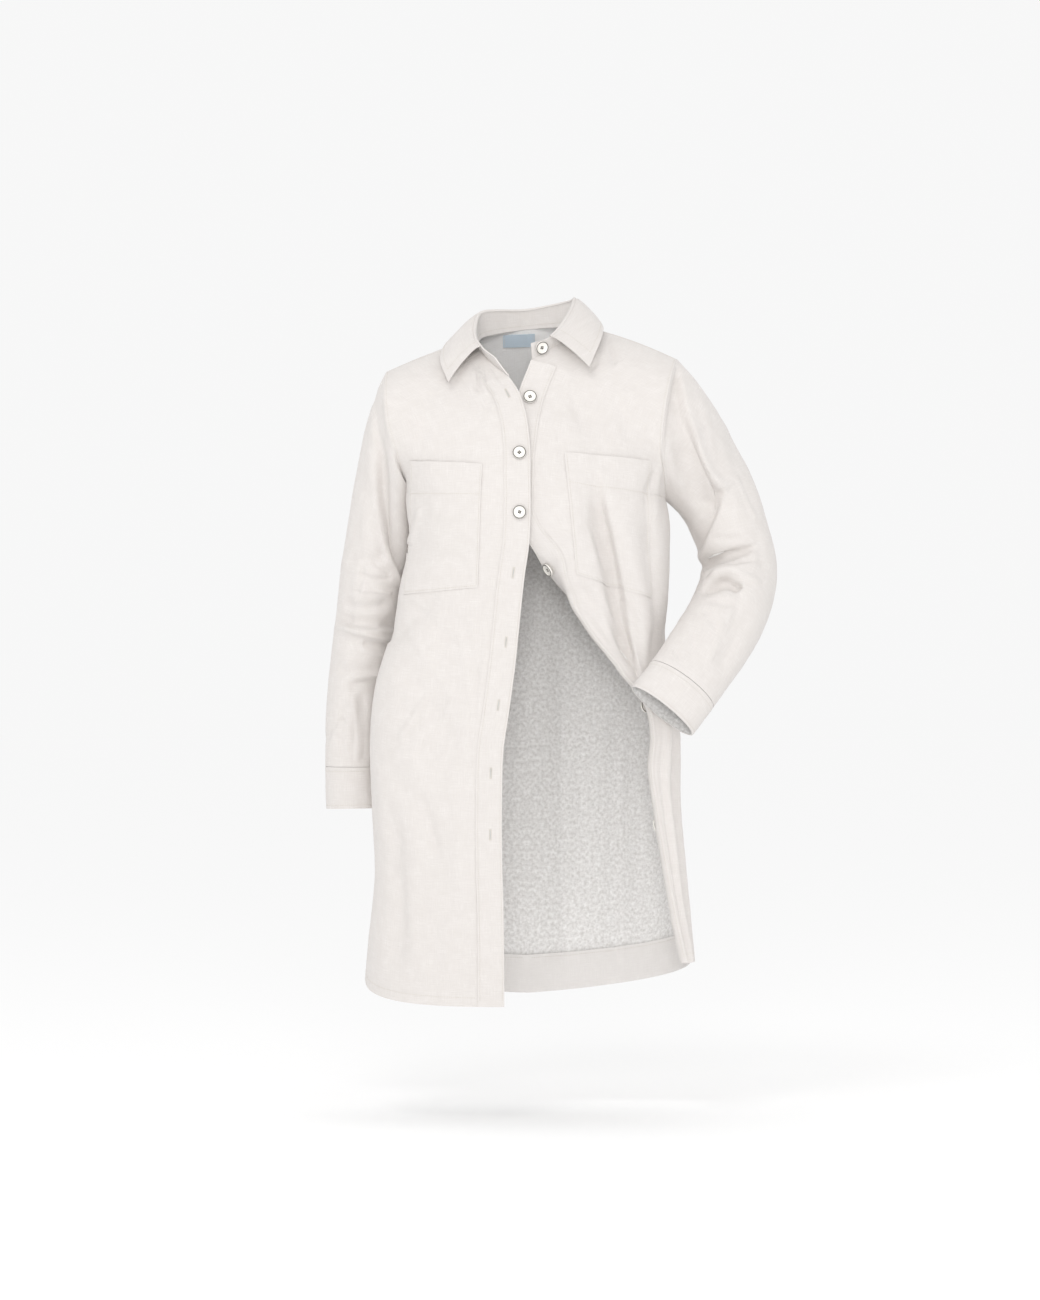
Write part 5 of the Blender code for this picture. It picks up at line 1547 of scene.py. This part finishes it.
def build_collar(cloth, thread):
    """Collar stand and leaf with edge stitching."""
    stitches = bmesh.new()
    points, normals = shape_net(stand_shape, *STAND_FINE, from_axis)
    points = points + (crinkle(points) * STAND_CRINKLE)[..., None] * normals
    # The stand's lower edge laps a little down inside the neck seam.
    fall = unit(points[-1] - points[-2])
    points = np.concatenate([points, points[-1:] + STAND_LAP * fall])
    normals = np.concatenate([normals, normals[-1:]])
    stand = cloth_piece("cloth_collar_stand", [(points, normals)], DOUBLED, cloth, ["collar_stand"])
    row, facing = points[-4, 2:-2], normals[-4, 2:-2]
    add_stitches(stitches, row, facing)
    add_stitches(stitches, row - DOUBLED * facing, -facing)
    points, normals = shape_net(leaf_shape, *LEAF_FINE, up_and_out)
    rows, columns = points.shape[:2]
    down = np.linspace(0, 1, rows)[:, None]
    low = (1 - down) * np.linalg.norm(points[-1] - points[0], axis=-1)[None, :]
    cell = np.linalg.norm(np.diff(points, axis=1), axis=-1).mean(axis=0).mean()
    ends = inset_of(columns - 1, columns)[None, :] * cell
    drop = rounded(np.minimum(low, ends), COLLAR_INSET)
    wave = crinkle(points) * LEAF_CRINKLE * smoothstep(down * 3)
    stands = LEAF_STANDS * smoothstep((down - LEAF_STANDS_FROM) / (1 - LEAF_STANDS_FROM))
    stands = stands * (1 + POINT_STANDS * smoothstep(1 - ends / POINT_LONG))
    points = points + (wave - drop + stands)[..., None] * normals
    leaf = cloth_piece("cloth_collar", [roll_over(points, normals)], COLLAR_CLOTH, cloth, ["collar"])
    for path in border(points, normals, COLLAR_INSET, ("left", "low", "right")):
        add_stitches(stitches, *path)
    finish_piece("stitches_collar", stitches, [thread])
    return {"collar_stand": stand, "collar": leaf}


def build_sleeves(cloth, thread):
    """Sleeves with plackets, and cuffs with a lapped end."""
    made = {}
    stitches = bmesh.new()
    turns = fine_turns()
    for side, sleeve, lap in (("right", RIGHT_SLEEVE, CUFF_LAPS[0]), ("left", LEFT_SLEEVE, CUFF_LAPS[1])):
        length = CUFF_START - CUFF_GAP - FINE_SLEEVE_START
        rows = FINE_SLEEVE_START + length * np.linspace(0, 1, SLEEVE_FINE_ROWS + 1)
        net = sleeve_face(sleeve, *np.meshgrid(turns, rows))
        name = "sleeve_" + side
        made[name] = cloth_piece("cloth_" + name, [net], CLOTH, cloth, [name])
        rows = np.linspace(0, 1, CUFF_FINE_ROWS + 1)
        around, down = np.meshgrid(turns, CUFF_START + (1 - CUFF_START) * rows)
        points, normals = sleeve_face(sleeve, around, down)
        tall = np.linalg.norm(points[-1, 0] - points[0, 0])
        drop = rounded(np.minimum(rows, 1 - rows) * tall, COLLAR_INSET)[:, None]
        before = np.mod(lap - around, 1.0)
        step = LAP_RISE * np.exp(-before / LAP_EASE) * (before < 0.5)
        outer = points + (step - drop)[..., None] * normals
        name = "cuff_" + side
        made[name] = cloth_piece("cloth_" + name, [(outer, normals)], DOUBLED, cloth, [name])
        inner = int(COLLAR_INSET / tall * CUFF_FINE_ROWS)
        for row in (inner, CUFF_FINE_ROWS - inner):
            add_stitches(stitches, outer[row], normals[row])
        column = int(np.argmin(np.abs(turns - (lap - LAP_STITCH))))
        add_stitches(stitches, outer[inner:-inner, column], normals[inner:-inner, column])
        # The placket strip above the cuff.
        columns, rows = PLACKET_CELLS
        net = np.meshgrid(np.linspace(lap - PLACKET_ROUND, lap, columns), np.linspace(*PLACKET, rows))
        points, normals = sleeve_face(sleeve, *net)
        wide = np.linalg.norm(points[rows // 2, -1] - points[rows // 2, 0])
        drop = rounded(inset_of(wide, columns)[None, :], PLACKET_INSET)
        strip = points + (PLACKET_LIFT - drop)[..., None] * normals
        name = "placket_" + side
        made[name] = cloth_piece("cloth_" + name, [(strip, normals)], PLACKET_CLOTH, cloth)
        for path in border(strip, normals, PLACKET_INSET, ("left", "top", "right")):
            add_stitches(stitches, *path)
    finish_piece("stitches_sleeves", stitches, [thread])
    return made


def button_piece(name, place, normal, turn, shell, thread, dark):
    """A four-hole shell button with painted shade round its raised outer edge and in each hole, sewn on with
    crossed thread.
    """
    mesh = bmesh.new()
    verts = [
        mesh.verts.new((x * BUTTON_RADIUS * MM, 0, z * BUTTON_THICK * MM)) for x, z in BUTTON_OUTLINE
    ]
    for low, high in zip(verts, verts[1:]):
        mesh.edges.new((low, high))
    bmesh.ops.spin(
        mesh,
        geom=mesh.verts[:] + mesh.edges[:],
        cent=(0, 0, 0),
        axis=(0, 0, 1),
        angle=2 * math.pi,
        steps=BUTTON_STEPS,
        use_merge=True,
    )
    bmesh.ops.remove_doubles(mesh, verts=mesh.verts, dist=0.000005)
    bmesh.ops.recalc_face_normals(mesh, faces=mesh.faces)
    middle = mesh.verts.layers.float.new("from_middle")
    for vert in mesh.verts:
        vert[middle] = math.hypot(vert.co.x, vert.co.y) / (BUTTON_RADIUS * MM)
    # Thread crosses in two pairs over the four holes.
    sewn, hole_shades = bmesh.new(), bmesh.new()
    for k in range(4):
        angle = math.pi / 4 + k * math.pi / 2
        cos, sin = math.cos(angle), math.sin(angle)
        ways = ((cos, sin, 0), (-sin, cos, 0), (0, 0, 1))
        if k < 2:
            add_grain(sewn, (0, 0, BUTTON_THREAD_UP * BUTTON_THICK), ways, BUTTON_THREAD, 2)
        # Each hole is a flat dark disc of painted shade, not a cut through the shell.
        hole = (-HOLE_OUT * sin, HOLE_OUT * cos, HOLE_UP * BUTTON_THICK)
        add_grain(hole_shades, hole, ways, HOLE_SIZE, 2)
    stand = Vector(normal).to_track_quat("Z", "Y").to_matrix().to_4x4() @ Matrix.Rotation(turn, 4, "Z")
    stand = Matrix.Translation(Vector(place) * MM) @ stand
    for made in (mesh, sewn, hole_shades):
        made.transform(stand)
    finish_piece(name + "_shell", mesh, [shell], [name])
    finish_piece(name + "_thread", sewn, [thread])
    finish_piece(name + "_hole_shades", hole_shades, [dark])


def cad_button(name):
    """Middle of a CAD button, the line that it faces along, and its points about that middle."""
    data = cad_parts[name].data
    total = sum(face.area for face in data.polygons)
    middle = sum((face.center * face.area for face in data.polygons), Vector()) / total
    centre = np.array(middle) / MM
    verts = np.array([vert.co for vert in data.vertices]) / MM - centre
    _, axes = np.linalg.eigh(verts.T @ verts)
    return centre, axes[:, 0], verts


def build_buttons(shell, thread):
    """Each button on the axis of its CAD solid."""
    # Painted shade for the button hole: matt and nearly black, as the shell deep in each hole is in full
    # shade.
    dark = plain_material("painted_shade_deep_in_button_hole", "#3b3834", 0.9, 0.05)
    names = ["button_%d" % k for k in range(1, 10)] + ["button_cuff_right", "button_cuff_left"]
    for number, name in enumerate(names):
        centre, axis, verts = cad_button(name)
        height = verts @ axis
        aside = np.linalg.norm(verts - height[:, None] * axis, axis=1)
        # The shank side is the one whose far points lie nearer the axis.
        near_low = aside[height < height.min() + BUTTON_END].max()
        near_high = aside[height > height.max() - BUTTON_END].max()
        if near_low > near_high:
            axis, height = -axis, -height
        place = centre + axis * (height.min() + SHANK * BUTTON_THICK)
        button_piece(name, place, axis, BUTTON_TURN * number, shell, thread, dark)


def buttonhole(mesh, slit, points, normals, column, row_at):
    """A buttonhole: two bars of close crosswise stitches with a bar tack at each end."""
    half = BUTTONHOLE / 2
    place, normal = points[row_at, column], normals[row_at, column]
    run = unit(points[row_at + 2, column] - points[row_at - 2, column])
    side = np.cross(run, normal)
    ways = (side, run, normal)
    for offset in (-BAR_OUT, BAR_OUT):
        for at in np.arange(-half, half + 0.01, BAR_PITCH):
            add_grain(mesh, place + run * at + side * offset + normal * BAR_UP, ways, BAR_STITCH)
    for end in (-half - TACK_OUT, half + TACK_OUT):
        add_grain(mesh, place + run * end + normal * TACK_UP, ways, BAR_TACK, 2)
    # A thin strip of painted shade along the cut between the bars.
    add_grain(slit, place + normal * SLIT_UP, ways, (SLIT_WIDE, half, SLIT_DEEP), 3)


def build_buttonholes(right, thread):
    """Upright buttonholes down the right band, where no button fills them."""
    neck_row = DOWN_COUNTS[0]
    points, normals = right
    column = BAND_STATIONS.index(BUTTONHOLE_STATION)
    lifted = points + (LIFT + BAND_CLOTH) * normals
    bars, slit_shades = bmesh.new(), bmesh.new()
    for z in BUTTONHOLE_HEIGHTS:
        row = neck_row + int(np.argmin(np.abs(lifted[neck_row:, column, 2] - z)))
        buttonhole(bars, slit_shades, lifted, normals, column, row)
    finish_piece("buttonhole_stitches", bars, [thread])
    # Painted shade in each buttonhole's cut: a thin, matt, cool grey strip laid on the band.
    finish_piece("buttonhole_slit_shades", slit_shades, [plain_material("painted_shade_in_buttonhole_cuts", "#bcc3c6", 0.9, 0.05)])


def build_stage():
    """A wide plain pale floor below the dress, of matt paint."""
    mesh = bmesh.new()
    bmesh.ops.create_grid(mesh, x_segments=1, y_segments=1, size=FLOOR_HALF)
    bmesh.ops.translate(mesh, vec=(0, 0, FLOOR), verts=mesh.verts)
    data = bpy.data.meshes.new("floor")
    mesh.to_mesh(data)
    mesh.free()
    data.materials.append(plain_material("pale_matt_floor", "#ffffff", 0.95, 0.0))
    show("floor", data)


def add_light(name, place, size, power):
    """A square soft light that faces the middle of the dress."""
    data = bpy.data.lights.new(name, "AREA")
    data.shape = "RECTANGLE"
    data.size = data.size_y = size
    data.energy = power
    made = show(name, data)
    made.location = place
    made.rotation_euler = (Vector(DRESS_MIDDLE) - Vector(place)).to_track_quat("-Z", "Y").to_euler()


def build_light():
    """Even studio light from all round, with a key from above and a broad light from the front."""
    world = bpy.data.worlds.new("studio")
    bpy.context.scene.world = world
    world.use_nodes = True
    sky = world.node_tree.nodes["Background"]
    sky.inputs["Color"].default_value = srgb("#fdfdfd")
    sky.inputs["Strength"].default_value = SKY
    add_light("key", *KEY_LIGHT)
    add_light("front", *FRONT_LIGHT)
    bpy.context.scene.view_settings.view_transform = "Standard"


def build_camera():
    """A level camera from the front."""
    data = bpy.data.cameras.new("camera")
    data.sensor_fit = "VERTICAL"
    data.sensor_height = SENSOR
    data.lens = SENSOR * CAMERA_DISTANCE / VIEW_HEIGHT
    data.clip_end = 60.0
    made = show("camera", data)
    made.location = Vector(AIM) * MM + Vector((0, -CAMERA_DISTANCE, 0))
    made.rotation_euler = (math.pi / 2, 0, 0)
    bpy.context.scene.camera = made


def main():
    # Right side: washed and softly worn, warm white, with 1.1 mm threads drawn.
    outside = cloth_material(
        "washed_linen", "#e7e3e0", "#d7d2ce", "#d9d4d0", (16.6667, 0.28, 0.9), 0.45, 1.08566
    )
    # Facing: the same cloth, pressed flat, so its tone is more even.
    facing = cloth_material(
        "linen_hem_facing", "#e9e6e3", "#dcd8d5", "#dfdbd8", (16.6667, 0.28, 0.6), 0.35, 1.08566
    )
    # Wrong side: brushed to a looped, woolly face, paler, with a coarse relief, and no cloudy tone near the
    # neck.
    inside = cloth_material(
        "linen_wrong_side",
        "#fdfcfb",
        "#f4f2f0",
        "#d2cfcc",
        (4.76190, 0.18, 2.4),
        0.7,
        1.57914,
        0.95,
        smooth_neck=True,
    )
    # Spun polyester sewing thread, a little darker than the cloth.
    thread = plain_material("sewing_thread", "#d6d1c9", 0.75, 0.2)
    cloth = [outside, inside]
    pieces, right = build_body(cloth, [facing, facing], thread)
    pieces["label"] = build_label(label_material(), thread)
    pieces.update(build_collar([outside, outside], thread))
    pieces.update(build_sleeves(cloth, thread))
    build_buttons(shell_material(), thread)
    build_buttonholes(right, thread)
    build_stage()
    build_light()
    build_camera()


main()
